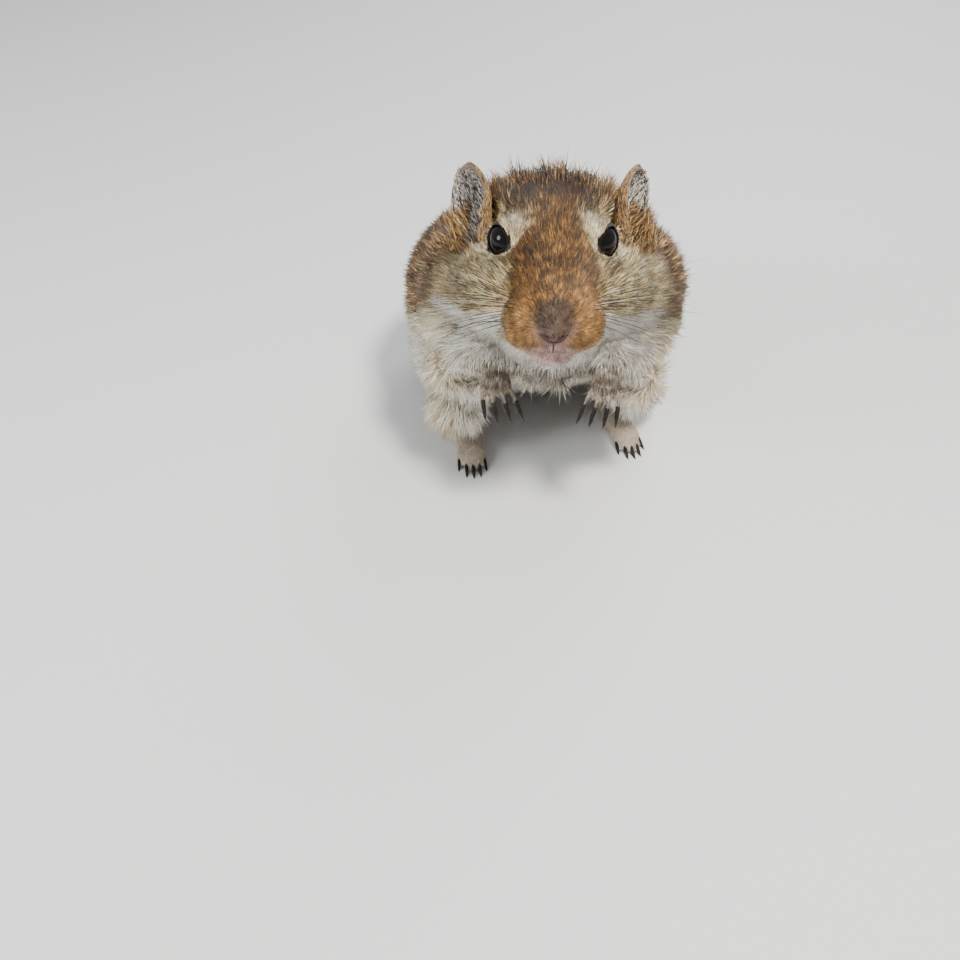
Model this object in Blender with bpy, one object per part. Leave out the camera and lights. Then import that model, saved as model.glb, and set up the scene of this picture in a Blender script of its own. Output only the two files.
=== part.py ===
"""A Mongolian gerbil sitting on its haunches with its forepaws held under its chin, life size.

The animal faces -Y and its left side is at +X. Sizes are in millimetres and are turned into metres where a mesh is made.
The solids reach out to the tips of the short coat.
"""

import math

import bmesh
import bpy
from mathutils import Matrix, Vector

MM = 0.001
GAP = 0.3
SIDES = (-1, 1)
SIDE_NAMES = {-1: "right", 1: "left"}

# The head stands at the middle between the eyes, its nose a little raised.
HEAD_CENTRE = Vector((0, -9, 54))
HEAD_PITCH = math.radians(-4)
HEAD_YAW = math.radians(3)
EYE_RADIUS = 3.2
EYE_OFFSET = Vector((8.0, 0, 0))
EYE_AXIS = Vector((0.76, -0.58, 0.29))
LID_THICKNESS = 0.4
EAR_ROOT = Vector((13.5, 7.4, -4.0))
EAR_TIP = Vector((15.7, 15.7, 7.4))
EAR_LENGTH = (EAR_TIP - EAR_ROOT).length
EAR_FACING = Vector((0.82, -0.57, 0.0))
EAR_WIDTH = 9.8

# The rump turns to the animal's right behind the chest.
TURN_PIVOT_Y = 4
TURN_END_Y = 16
REAR_TURN = math.radians(15)

BULK_VOXEL = 0.8
BULK_SMOOTHING = 26
DETAIL_VOXEL = 0.5
DETAIL_SMOOTHING = 7
HEAD_SHARE_TRIANGLES = 4060
BODY_SHARE_TRIANGLES = 2000

FOREPAWS = {-1: Vector((9.1, -20.5, 31.8)), 1: Vector((11.0, -20.5, 31.8))}
FOREPAW_LEAN = {-1: 2.0, 1: 1.2}
DIGIT_RADIUS = 0.8
CLAW_RADIUS = 0.48
CLAW_LENGTH = 3.2
TAIL_RADII = (5.4, 3.6, 3.0, 2.8, 2.6, 2.6, 3.0, 2.0)
TAIL_STEPS = 5
TAIL_ROOT_STEP = 8
TAIL_CUT_STEPS = (16, 25)
TUFT_CORE = 0.62
TUFT_LOCKS = 28
TUFT_LOCK_LENGTH = 11.0
TUFT_LOCK_WIDTH = 1.2

COATS = {
    "agouti": (0.47, 0.33, 0.19),
    "face": (0.62, 0.40, 0.20),
    "cream": (0.74, 0.66, 0.52),
    "ear": (0.62, 0.56, 0.50),
    "paw": (0.52, 0.40, 0.33),
    "eye": (0.01, 0.01, 0.012),
    "tuft": (0.16, 0.11, 0.08),
}


def clear_scene():
    for obj in list(bpy.data.objects):
        bpy.data.objects.remove(obj, do_unlink=True)


def material(name, roughness=0.85):
    found = bpy.data.materials.get(name)
    if found:
        return found
    made = bpy.data.materials.new(name)
    made.use_nodes = True
    shader = made.node_tree.nodes["Principled BSDF"]
    shader.inputs["Base Color"].default_value = (*COATS[name], 1)
    shader.inputs["Roughness"].default_value = 0.1 if name == "eye" else roughness
    shader.inputs["Metallic"].default_value = 0
    return made


def add_object(name, mesh):
    obj = bpy.data.objects.new(name, mesh)
    bpy.context.scene.collection.objects.link(obj)
    return obj


def remove(objects):
    for obj in objects:
        bpy.data.objects.remove(obj, do_unlink=True)


def smoothstep(low, high, value):
    share = min(1, max(0, (value - low) / (high - low)))
    return share * share * (3 - 2 * share)


def rear_matrix(y):
    """The turn about a vertical axis that bends the trunk: none at the chest, whole at the rump."""
    turn = REAR_TURN * smoothstep(TURN_PIVOT_Y, TURN_END_Y, y)
    pivot = Vector((0, TURN_PIVOT_Y, 0))
    return Matrix.Translation(pivot) @ Matrix.Rotation(turn, 4, "Z") @ Matrix.Translation(-pivot)


REAR = rear_matrix(TURN_END_Y)
HEAD = Matrix.Translation(HEAD_CENTRE) @ Matrix.Rotation(HEAD_YAW, 4, "Z") @ Matrix.Rotation(HEAD_PITCH, 4, "X")


def mirrored(point, side):
    return Vector((point[0] * side, point[1], point[2]))


def ellipsoid(name, centre, radii, place=Matrix.Identity(4), turn=Matrix.Identity(4), columns=32, rows=20):
    """A closed egg round centre, its radii along its own axes."""
    mesh = bpy.data.meshes.new(name)
    bm = bmesh.new()
    bmesh.ops.create_uvsphere(bm, u_segments=columns, v_segments=rows, radius=1)
    shape = place @ Matrix.Translation(centre) @ turn @ Matrix.Diagonal((*radii, 1))
    bm.transform(Matrix.Scale(MM, 4) @ shape)
    bm.to_mesh(mesh)
    bm.free()
    return add_object(name, mesh)


def ring_points(centre, across, up, width, top, bottom, count, power):
    """One closed section: half widths across, and separate heights above and below the centre."""
    points = []
    for step in range(count):
        angle = 2 * math.pi * step / count
        cosine, sine = math.cos(angle), math.sin(angle)
        reach = width * math.copysign(abs(cosine) ** power, cosine)
        height = (top if sine > 0 else bottom) * math.copysign(abs(sine) ** power, sine)
        points.append(centre + across * reach + up * height)
    return points


def skin_rings(name, rings, first_tip, last_tip):
    """A closed mesh through the rings of points, each end drawn to its own tip."""
    mesh = bpy.data.meshes.new(name)
    bm = bmesh.new()
    loops = [[bm.verts.new(point * MM) for point in ring] for ring in rings]
    count = len(loops[0])
    for here, there in zip(loops, loops[1:]):
        for step in range(count):
            after = (step + 1) % count
            bm.faces.new((here[step], here[after], there[after], there[step]))
    for loop, tip in ((loops[0], first_tip), (loops[-1], last_tip)):
        end = bm.verts.new(tip * MM)
        for step in range(count):
            bm.faces.new((loop[step], loop[(step + 1) % count], end))
    bmesh.ops.recalc_face_normals(bm, faces=bm.faces)
    bm.to_mesh(mesh)
    bm.free()
    return add_object(name, mesh)


def tube(name, points, radii, flatness=1.0, up=Vector((0, 0, 1)), count=12, cap=0.35):
    """A closed tube through the points. Each section is across by its radius and flatness times that along up."""
    rings = []
    for index, point in enumerate(points):
        before = points[max(0, index - 1)]
        after = points[min(len(points) - 1, index + 1)]
        along = (after - before).normalized()
        across = along.cross(up)
        if across.length < 1e-3:
            across = along.cross(Vector((0, 1, 0)))
        across.normalize()
        rise = across.cross(along).normalized()
        radius = radii[index]
        rings.append(ring_points(point, across, rise, radius, radius * flatness, radius * flatness, count, 1))
    first = points[0] + (points[0] - points[1]).normalized() * radii[0] * cap
    last = points[-1] + (points[-1] - points[-2]).normalized() * radii[-1] * cap
    return skin_rings(name, rings, first, last)


def smooth_path(knots, steps):
    """Points along a Catmull-Rom curve through the knots, steps to each span. Knots may be of any dimension."""
    knots = [Vector(knot) for knot in knots]
    padded = [knots[0] * 2 - knots[1], *knots, knots[-1] * 2 - knots[-2]]
    points = []
    for a, b, c, d in zip(padded, padded[1:], padded[2:], padded[3:]):
        for step in range(steps):
            t = step / steps
            points.append(
                0.5 * (2 * b + (c - a) * t + (2 * a - 5 * b + 4 * c - d) * t**2 + (3 * b - a - 3 * c + d) * t**3)
            )
    return [*points, knots[-1]]


def blend_along(values, share):
    """The value at a share of the way through evenly spaced values."""
    place = min(max(share, 0), 1) * (len(values) - 1)
    index = min(int(place), len(values) - 2)
    return values[index] + (values[index + 1] - values[index]) * (place - index)


def settle(obj):
    """Turns the object's modifiers into its mesh."""
    graph = bpy.context.evaluated_depsgraph_get()
    mesh = bpy.data.meshes.new_from_object(obj.evaluated_get(graph))
    obj.modifiers.clear()
    obj.data = mesh
    return obj


def copy_of(obj, name):
    made = obj.copy()
    made.data = obj.data.copy()
    made.name = name
    bpy.context.scene.collection.objects.link(made)
    return made


def keep_largest(obj):
    """Keeps the object's largest closed surface."""
    bm = bmesh.new()
    bm.from_mesh(obj.data)
    left = set(bm.verts)
    islands = []
    while left:
        stack = [left.pop()]
        island = set(stack)
        while stack:
            for edge in stack.pop().link_edges:
                for vertex in edge.verts:
                    if vertex in left:
                        left.discard(vertex)
                        island.add(vertex)
                        stack.append(vertex)
        islands.append(island)
    if len(islands) > 1:
        faces_of = [{f for v in island for f in v.link_faces} for island in islands]
        areas = [sum(f.calc_area() for f in faces) for faces in faces_of]
        best = areas.index(max(areas))
        spare = [v for k, island in enumerate(islands) if k != best for v in island]
        bmesh.ops.delete(bm, geom=spare, context="VERTS")
        bm.to_mesh(obj.data)
    bm.free()
    return obj


def combine(obj, others, operation, solver="EXACT"):
    """One Boolean of the object with a collection of closed meshes, which are then removed."""
    group = bpy.data.collections.new("operands")
    bpy.context.scene.collection.children.link(group)
    for other in others:
        bpy.context.scene.collection.objects.unlink(other)
        group.objects.link(other)
    change = obj.modifiers.new("combine", "BOOLEAN")
    change.operation = operation
    change.solver = solver
    change.operand_type = "COLLECTION"
    change.collection = group
    bpy.context.view_layer.update()
    settle(obj)
    remove(others)
    bpy.data.collections.remove(group)
    return keep_largest(obj)


def keep_inside(obj, region):
    change = obj.modifiers.new("inside", "BOOLEAN")
    change.operation = "INTERSECT"
    change.solver = "EXACT"
    change.object = region
    bpy.context.view_layer.update()
    settle(obj)
    remove([region])
    return keep_largest(obj)


def half_space(name, point, normal, reach=90):
    """A box whose face passes through point, with all of the box on the side that normal points to."""
    mesh = bpy.data.meshes.new(name)
    bm = bmesh.new()
    bmesh.ops.create_cube(bm, size=2 * reach)
    turn = normal.to_track_quat("Z", "Y").to_matrix().to_4x4()
    place = Matrix.Translation(point) @ turn @ Matrix.Translation((0, 0, reach))
    bm.transform(Matrix.Scale(MM, 4) @ place)
    bm.to_mesh(mesh)
    bm.free()
    return add_object(name, mesh)


def trunk():
    """The body from the tail's root to the nape, each section tipped with the arch of the back."""
    stations = [
        # y, z, half width, half height, lean in degrees
        (50.5, 8.5, 5.5, 6.0, -5),
        (48, 11.5, 12.5, 11.6, 0),
        (41.5, 15.8, 20.5, 17.4, 12),
        (31.5, 21.5, 25.2, 20.8, 24),
        (20, 27.0, 27.6, 22.0, 32),
        (9.5, 33.5, 27.4, 20.4, 42),
        (2.5, 40.0, 25.2, 17.6, 50),
        (-1.5, 45.5, 21.5, 14.8, 50),
        (-3.5, 49.5, 17.4, 12.0, 38),
    ]
    rings = []
    for y, z, width, height, lean in smooth_path(stations, 3):
        place = rear_matrix(y)
        lean = math.radians(lean)
        up = place.to_3x3() @ Vector((0, math.sin(lean), math.cos(lean)))
        across = place.to_3x3() @ Vector((1, 0, 0))
        rings.append(ring_points(place @ Vector((0, y, z)), across, up, width, height, height, 40, 0.94))
    return skin_rings("trunk", rings, REAR @ Vector((0, 53, 8)), Vector((0, -8, 53)))


def head_loft():
    """The head from the nose to the nape, wide and flat on top, tapering to a blunt muzzle."""
    stations = [
        # y, half width, top, bottom
        (-19.6, 2.6, -4.6, -9.4),
        (-18.2, 4.4, -3.0, -11.2),
        (-16.0, 5.9, -1.4, -12.6),
        (-13.0, 7.1, 0.4, -13.6),
        (-9.0, 8.3, 2.4, -14.6),
        (-5.0, 9.2, 4.2, -15.6),
        (0.0, 10.6, 6.0, -16.4),
        (5.0, 13.0, 6.9, -16.8),
        (10.0, 15.2, 7.1, -16.8),
        (15.0, 15.8, 6.6, -16.0),
        (20.0, 14.5, 4.6, -14.0),
    ]
    rings = []
    for y, width, top, bottom in smooth_path(stations, 2):
        middle = (top + bottom) / 2
        half = (top - bottom) / 2
        centre = HEAD @ Vector((0, y, middle))
        up = HEAD.to_3x3() @ Vector((0, 0, 1))
        across = HEAD.to_3x3() @ Vector((1, 0, 0))
        rings.append(ring_points(centre, across, up, width, half, half, 36, 0.88))
    return skin_rings("head_loft", rings, HEAD @ Vector((0, -20.3, -7.0)), HEAD @ Vector((0, 23, -4)))


def head_masses():
    """The rounded masses that give the back of the head its form."""
    made = [ellipsoid("jaw", (0, -6.5, -13.0), (9.4, 9.9, 6.8), HEAD)]
    for side in SIDES:
        made.append(ellipsoid("cheek", mirrored((9.9, 1.5, -8.6), side), (8.8, 11.6, 9.0), HEAD))
        made.append(ellipsoid("temple", mirrored((10.6, 9.6, -0.8), side), (4.6, 6.2, 5.8), HEAD))
    return made


def muzzle_masses():
    """Nose, chin, whisker pads, upper lips and the low rise round each eye."""
    made = [
        ellipsoid("nose", (0, -17.9, -6.8), (3.0, 2.6, 2.8), HEAD),
        ellipsoid("bridge", (0, -12.0, -5.0), (5.2, 7.6, 5.6), HEAD),
        ellipsoid("chin", (0, -14.4, -13.2), (4.6, 4.4, 3.3), HEAD),
    ]
    for side in SIDES:
        made.append(ellipsoid("whisker_pad", mirrored((4.2, -14.2, -8.4), side), (5.0, 5.3, 5.1), HEAD))
        made.append(ellipsoid("lip", mirrored((2.2, -16.8, -10.2), side), (2.7, 2.6, 2.4), HEAD))
        made.append(ellipsoid("orbit", mirrored((6.4, 0.4, 0.3), side), (3.7, 4.7, 4.3), HEAD))
    return made


def chest():
    """The deep coat of the throat and breast under the chin."""
    return [
        ellipsoid("breast", (-0.5, -4.5, 35.0), (16.0, 13.5, 13.5)),
        ellipsoid("throat", (-0.3, -9.0, 40.0), (15.0, 11.0, 8.5)),
    ]


def shoulder(side):
    """The ruff beside the throat, and the shoulder under it."""
    return [
        ellipsoid("ruff", mirrored((12.0, -2.2, 41.5), side), (11.0, 12.0, 10.8)),
        ellipsoid("shoulder", mirrored((16.6, -1.5, 33.5), side), (9.0, 11.0, 12.4)),
    ]


def forearm(side):
    """The forearm from the elbow, mostly hidden in the chest's coat, down to the wrist."""
    paw = FOREPAWS[side]
    knots = [(15.8, -8.5, 27.5), (13.6, -13.0, 30.8), paw + Vector((0.5, 4.2, 2.4)), paw]
    path = smooth_path([mirrored(knot, side) for knot in knots], 4)
    radii = [blend_along([6.8, 5.8, 3.9, 2.7], k / (len(path) - 1)) for k in range(len(path))]
    return tube("forearm", path, radii, cap=0.2, count=20)


def haunch(side):
    """Thigh and shin folded over the hind foot."""
    thigh_turn = Matrix.Rotation(math.radians(-14), 4, "X") @ Matrix.Rotation(math.radians(side * -6), 4, "Z")
    thigh = ellipsoid("thigh", mirrored((18.0, 15.0, 18.8), side), (9.6, 18.5, 15.0), REAR, thigh_turn)
    knee = mirrored((20.0, -0.5, 12.5), side)
    heel = mirrored((15.5, 20.0, 6.5), side)
    shin = tube("shin", [REAR @ knee, REAR @ heel], [6.6, 4.4], cap=0.8, count=20)
    return [thigh, shin]


def tail_path():
    """The tail leaves the rump, lies on the floor and curls round behind it."""
    knots = [
        REAR @ Vector((0, 47, 8.2)),
        REAR @ Vector((0, 55, 4.6)),
        Vector((-17.5, 66, 3.1)),
        Vector((-14.5, 81, 2.7)),
        Vector((-3, 92, 2.4)),
        Vector((11, 92, 2.4)),
        Vector((21, 83, 2.6)),
        Vector((22.5, 70, 2.8)),
    ]
    return smooth_path(knots, TAIL_STEPS)


def tail_sizes(path):
    return [blend_along(TAIL_RADII, k / (len(path) - 1)) for k in range(len(path))]


def fuse(objects, name, voxel, smoothing):
    """Melts closed masses into one smooth closed surface."""
    for obj in objects[1:]:
        bm = bmesh.new()
        bm.from_mesh(objects[0].data)
        bm.from_mesh(obj.data)
        bm.to_mesh(objects[0].data)
        bm.free()
    remove(objects[1:])
    body = objects[0]
    body.name = name
    remesh = body.modifiers.new("fuse", "REMESH")
    remesh.mode = "VOXEL"
    remesh.voxel_size = voxel * MM
    soften = body.modifiers.new("soften", "SMOOTH")
    soften.factor = 0.5
    soften.iterations = smoothing
    return keep_largest(settle(body))


def thinned(obj, name, triangles):
    """A copy of the object brought down to about that many triangles."""
    made = copy_of(obj, name)
    faces = sum(len(p.vertices) - 2 for p in made.data.polygons)
    thin = made.modifiers.new("thin", "DECIMATE")
    thin.ratio = triangles / faces
    return settle(made)


def eye_place(side):
    return HEAD @ mirrored(EYE_OFFSET, side)


def eyeball(side, grow=0.0, name="eye"):
    radius = EYE_RADIUS + grow
    return ellipsoid(name, eye_place(side), (radius, radius, radius), columns=16, rows=10)


def eyelids(side):
    """A thin hood over the eyeball, opened along a slanting almond."""
    radius = EYE_RADIUS + GAP + LID_THICKNESS
    return ellipsoid("hood", eye_place(side), (radius,) * 3, columns=24, rows=15)


def beside_eye(name, side, reach, radii):
    """An egg on the eye's own axis, reach in front of the eyeball's middle."""
    axis = HEAD.to_3x3() @ mirrored(EYE_AXIS, side).normalized()
    turn = axis.to_track_quat("Z", "Y").to_matrix().to_4x4()
    slant = Matrix.Rotation(math.radians(side * -18), 4, "Z")
    place = Matrix.Translation(eye_place(side) + axis * reach) @ turn @ slant
    return ellipsoid(name, (0, 0, 0), radii, place, columns=20, rows=12)


def eye_opening(side):
    """The almond between the lids."""
    return beside_eye("opening", side, 3.6, (2.85, 2.5, 2.3))


def orbit_bowl(side):
    """The shallow bowl round the lids, where the coat is shortest."""
    return beside_eye("bowl", side, 5.0, (5.0, 4.5, 2.9))


def ear_axes(side):
    """The ear's root and three directions: up it, out of its cup, and across it."""
    root = HEAD @ mirrored(EAR_ROOT, side)
    along = (HEAD.to_3x3() @ mirrored(EAR_TIP - EAR_ROOT, side)).normalized()
    facing = (HEAD.to_3x3() @ mirrored(EAR_FACING, side)).normalized()
    facing = (facing - along * facing.dot(along)).normalized()
    return root, along, facing, along.cross(facing).normalized()


def ear_rings(side, shrink, forward, start, end):
    """Sections of the ear from its root to its rounded top, for the outside or the hollow of its cup."""
    root, along, facing, across = ear_axes(side)
    rings = []
    steps = 9
    for step in range(steps + 1):
        share = start + (end - start) * step / steps
        swell = math.sin(math.pi * min(1, 0.20 + 0.80 * share) ** 1.15)
        width = EAR_WIDTH / 2 * (0.30 + 0.70 * swell ** 0.7) - shrink
        if share > 0.62:
            fall = (share - 0.62) / 0.38
            width = (EAR_WIDTH / 2 * 0.98 - shrink) * math.sqrt(max(0.0, 1 - fall**2.1)) + 0.12
        depth = max(0.35, width * 0.62)
        centre = root + along * (EAR_LENGTH * share) + facing * forward
        rings.append(ring_points(centre, across, facing, max(width, 0.3), depth, depth, 16, 1))
    first = root + along * (EAR_LENGTH * start - 0.3) + facing * forward
    last = root + along * (EAR_LENGTH * end + 0.15) + facing * forward
    return rings, first, last, root, along, facing


def ear_outside(side, grow=0.0):
    rings, first, last, root, along, facing = ear_rings(side, -grow, 0.0, -0.16, 0.995)
    shell = skin_rings("ear", rings, first - along * grow, last + along * grow)
    front = half_space("ear_front", root + facing * (0.9 + grow), facing)
    combine(shell, [front], "DIFFERENCE")
    return shell


def ear_mouth(side):
    """The hollow of the head in front of the ear's cup, down towards the corner of the eye."""
    root, along, facing, across = ear_axes(side)
    turn = Matrix((along, facing, across)).transposed().to_4x4()
    place = Matrix.Translation(root + along * 4.6 + facing * 3.4) @ turn
    return ellipsoid("ear_mouth", (0, 0, 0), (5.6, 3.7, 4.3), place, columns=16, rows=10)


def ear(side):
    """A thin rounded cup, open to the front and outwards."""
    shell = ear_outside(side)
    rings, first, last, root, along, facing = ear_rings(side, 0.75, 1.1, 0.14, 0.93)
    hollow = skin_rings("hollow", rings, first, last)
    combine(shell, [hollow], "DIFFERENCE")
    shell.name = f"ear_{SIDE_NAMES[side]}"
    return shell


def digit(name, root, bend, tip, radius, claw_turn):
    """A finger or toe with a knuckle, and the curved claw that grows from its end."""
    path = smooth_path([root, bend, tip], 2)
    swell = [0.95, 1.06, 1.04, 0.92, 0.84]
    finger = tube(name, path, [radius * s for s in swell], count=8, cap=0.7)
    along = (tip - bend).normalized()
    claw_points = [
        tip - along * 0.7,
        tip + along * (CLAW_LENGTH * 0.52) + claw_turn * 0.2,
        tip + along * (CLAW_LENGTH * 0.96) + claw_turn * 1.25,
    ]
    claw = tube("claw", claw_points, [CLAW_RADIUS, CLAW_RADIUS * 0.82, 0.12], count=6, cap=1.0)
    return [finger, claw]


def forepaw(side):
    """The hand hangs from the wrist with four spread fingers, their claws pointing down."""
    paw = FOREPAWS[side]
    turn = Matrix.Rotation(math.radians(38), 4, "X")
    palm = ellipsoid("palm", mirrored(paw, side), (3.3, 3.9, 2.1), turn=turn, columns=16, rows=9)
    pieces = []
    lean = FOREPAW_LEAN[side]
    fingers = [(-2.55, 0.9), (-0.95, 0.15), (0.85, 0.0), (2.45, 0.7)]
    for offset, back in fingers:
        root = mirrored(paw + Vector((offset * 0.85, -1.4 + back * 0.7, -0.4)), side)
        bend = mirrored(paw + Vector((offset * 1.12 - lean * 0.25, -3.3 + back, -1.5)), side)
        tip = mirrored(paw + Vector((offset * 1.22 - lean * 0.6, -4.2 + back, -3.1)), side)
        pieces += digit("finger", root, bend, tip, DIGIT_RADIUS, Vector((0, 0.45, -0.3)))
    return palm, pieces


def hind_foot(side, grow=0.0, toes=True):
    """A long narrow foot, flat on the floor from the heel to five short toes."""
    heel = Vector((15.4, 23.0, 2.6))
    ball = Vector((17.2, -2.5, 1.9))
    along = (ball - heel).normalized()
    shares = (0, 0.14, 0.34, 0.58, 0.82, 1.0)
    widths = (2.0, 2.9, 2.7, 2.7, 3.3, 2.6)
    tops = (2.6, 3.3, 2.7, 2.3, 1.9, 1.4)
    rings = []
    for share, width, top in zip(shares, widths, tops):
        centre = heel + (ball - heel) * share
        centre.z = 1.2
        across = Vector((-along.y, along.x, 0)).normalized()
        points = ring_points(centre, across, Vector((0, 0, 1)), width + grow, top + grow, 1.5 + grow, 14, 0.9)
        rings.append([REAR @ mirrored(p, side) for p in points])
    first = heel - along * (1.6 + grow)
    last = ball + along * (0.8 + grow)
    first.z = last.z = 1.2
    foot = skin_rings("foot", rings, REAR @ mirrored(first, side), REAR @ mirrored(last, side))
    if not toes:
        return foot
    pieces = []
    spread = [(-2.5, 2.2), (-1.3, 0.3), (0.0, 0.0), (1.3, 0.5), (2.6, 2.6)]
    across = Vector((along.y, -along.x, 0)).normalized() * -1
    for offset, back in spread:
        start = ball + across * (offset * 0.8) - along * (1.0 + back)
        bend = start + along * 2.8 + across * (offset * 0.12)
        tip = bend + along * 1.8 + across * (offset * 0.10)
        start.z, bend.z, tip.z = 1.3, 1.55, 0.95
        root, middle, end = (REAR @ mirrored(p, side) for p in (start, bend, tip))
        pieces += digit("toe", root, middle, end, DIGIT_RADIUS * 1.12, Vector((0, 0, -0.35)))
    return combine(foot, pieces, "UNION")


def mouth_slit():
    """The thin curved cut between the lips, deepest under the nose."""
    knots = [
        Vector((5.4, -10.2, -12.0)),
        Vector((3.4, -15.4, -12.1)),
        Vector((0, -18.6, -11.7)),
        Vector((-3.4, -15.4, -12.1)),
        Vector((-5.4, -10.2, -12.0)),
    ]
    path = [HEAD @ p for p in smooth_path(knots, 5)]
    return tube("mouth", path, [1.5] * len(path), flatness=0.17, up=HEAD.to_3x3() @ Vector((0, 0, 1)), count=10)


def face_cuts():
    """Nostrils, the groove of the upper lip and the line of the mouth."""
    cuts = [mouth_slit()]
    groove = ellipsoid("groove", (0, -19.0, -10.2), (0.22, 1.3, 1.9), HEAD, columns=12, rows=8)
    cuts.append(groove)
    for side in SIDES:
        turn = Matrix.Rotation(math.radians(side * 62), 4, "Y")
        cuts.append(
            ellipsoid("nostril", mirrored((1.5, -19.8, -8.4), side), (0.34, 1.3, 1.25), HEAD, turn, 12, 8)
        )
    return cuts


def finish(obj, name, coat):
    obj.name = name
    obj.data.name = name
    obj.data.materials.clear()
    obj.data.materials.append(material(coat))
    obj.data.shade_smooth()
    obj.data.set_sharp_from_angle(angle=math.radians(40))
    return obj


def region(name, centre, radii, place=Matrix.Identity(4), turn=Matrix.Identity(4), grow=0.0):
    """An egg of space that parts one node from its neighbour, or the same egg grown by the gap."""
    return ellipsoid(name, centre, [r + grow for r in radii], place, turn, columns=18, rows=12)


def head_region(grow=0.0):
    return region("head_region", (0, -2.5, -3.0), (26.0, 24.0, 17.0), HEAD, grow=grow)


def neck_region(grow=0.0):
    """The space round the back of the head, from ear to ear and down over the nape."""
    turn = Matrix.Rotation(math.radians(-20), 4, "X")
    return region("neck_region", (-0.5, 3.0, 48.5), (30.0, 16.0, 10.5), turn=turn, grow=grow)


def arm_region(side, grow=0.0):
    """The space that holds one foreleg from the outside of the shoulder to beyond the wrist."""
    upper = region("upper", mirrored((19.5, -3.0, 31.5), side), (9.5, 11.0, 12.0), grow=grow)
    lower = region("lower", mirrored((12.3, -14.5, 29.0), side), (9.2, 11.0, 8.6), grow=grow)
    return combine(upper, [lower], "UNION")


def haunch_region(side, grow=0.0):
    turn = Matrix.Rotation(math.radians(-14), 4, "X") @ Matrix.Rotation(math.radians(side * -6), 4, "Z")
    return region("haunch_region", mirrored((22.0, 13.5, 14.0), side), (11.5, 23.0, 17.0), REAR, turn, grow)


def on_floor(obj):
    return combine(obj, [half_space("ground", Vector((0, 0, 0)), Vector((0, 0, -1)), 130)], "DIFFERENCE")


def flesh_masses(path, radii):
    """The whole animal but for eyes, ears, paws, feet and the tail's free length, in two grades of detail."""
    bulk = [trunk(), head_loft(), *head_masses(), *chest()]
    for side in SIDES:
        bulk += [*shoulder(side), *haunch(side)]
    reach = TAIL_ROOT_STEP + 3
    bulk.append(tube("tail_root", path[:reach], [r + 0.3 for r in radii[:reach]], count=16))
    body = fuse(bulk, "bulk", BULK_VOXEL, BULK_SMOOTHING)
    detail = [body, *muzzle_masses(), *(forearm(side) for side in SIDES)]
    return fuse(detail, "flesh", DETAIL_VOXEL, DETAIL_SMOOTHING)


def make_head(flesh):
    head = keep_inside(flesh, head_region())
    combine(head, [orbit_bowl(side) for side in SIDES] + [ear_mouth(side) for side in SIDES], "DIFFERENCE")
    combine(head, [eyelids(side) for side in SIDES], "UNION")
    cutters = [ear_outside(side, GAP) for side in SIDES]
    cutters += [eyeball(side, GAP, "socket") for side in SIDES]
    cutters += [eye_opening(side) for side in SIDES]
    combine(head, cutters, "DIFFERENCE")
    combine(head, face_cuts(), "DIFFERENCE")
    finish(head, "head", "face")


def make_foreleg(body, side):
    """Parts the foreleg from the body, and sets the paw at its wrist."""
    name = SIDE_NAMES[side]
    wrist = mirrored(FOREPAWS[side] + Vector((0.2, 2.0, 1.3)), side)
    normal = mirrored(Vector((-0.05, -0.80, -0.60)), side).normalized()
    arm = keep_inside(copy_of(body, "arm"), arm_region(side))
    combine(body, [arm_region(side, GAP)], "DIFFERENCE")
    combine(arm, [half_space("hand_side", wrist - normal * GAP / 2, normal)], "DIFFERENCE")
    finish(arm, f"foreleg_{name}", "cream")
    palm, pieces = forepaw(side)
    combine(palm, pieces, "UNION")
    combine(palm, [half_space("arm_side", wrist + normal * GAP / 2, -normal)], "DIFFERENCE")
    finish(palm, f"forepaw_{name}", "paw")


def make_hind_leg(body, side):
    """Parts the haunch from the body, and lays the foot under it."""
    name = SIDE_NAMES[side]
    leg = keep_inside(copy_of(body, "leg"), haunch_region(side))
    combine(body, [haunch_region(side, GAP), hind_foot(side, GAP, False)], "DIFFERENCE")
    combine(leg, [hind_foot(side, GAP, False)], "DIFFERENCE")
    finish(on_floor(leg), f"hind_leg_{name}", "agouti")
    finish(on_floor(hind_foot(side)), f"hind_foot_{name}", "paw")


def along_path(path, distance):
    """The point at a distance along the path, and the path's direction there. Past its end it runs straight on."""
    for here, there in zip(path, path[1:]):
        length = (there - here).length
        if distance <= length:
            break
        distance -= length
    else:
        distance += length
    lie = (there - here).normalized()
    return here + lie * distance, lie


def tuft_lock(path, start, angle, length, width):
    """A flat tapered lock, rooted inside the tail and lying back along it with its tip bent in."""
    total = sum((b - a).length for a, b in zip(path, path[1:]))
    line = []
    for share, spread in ((0, 0.5), (0.28, 2.3), (0.62, 3.1), (1, 3.0)):
        distance = start + share * length
        point, lie = along_path(path, distance)
        level = lie.cross(Vector((0, 0, 1))).normalized()
        outward = level * math.cos(angle) + level.cross(lie) * math.sin(angle)
        closing = 1 - 0.75 * smoothstep(-4, 11, distance - total)
        point = point + outward * (spread * closing)
        point.z = max(point.z, 0.55)
        line.append(point)
    widths = [width * 0.8, width, width * 0.85, width * 0.22]
    return tube("lock", line, widths, flatness=0.36, up=outward, count=4, cap=0.6)


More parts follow.
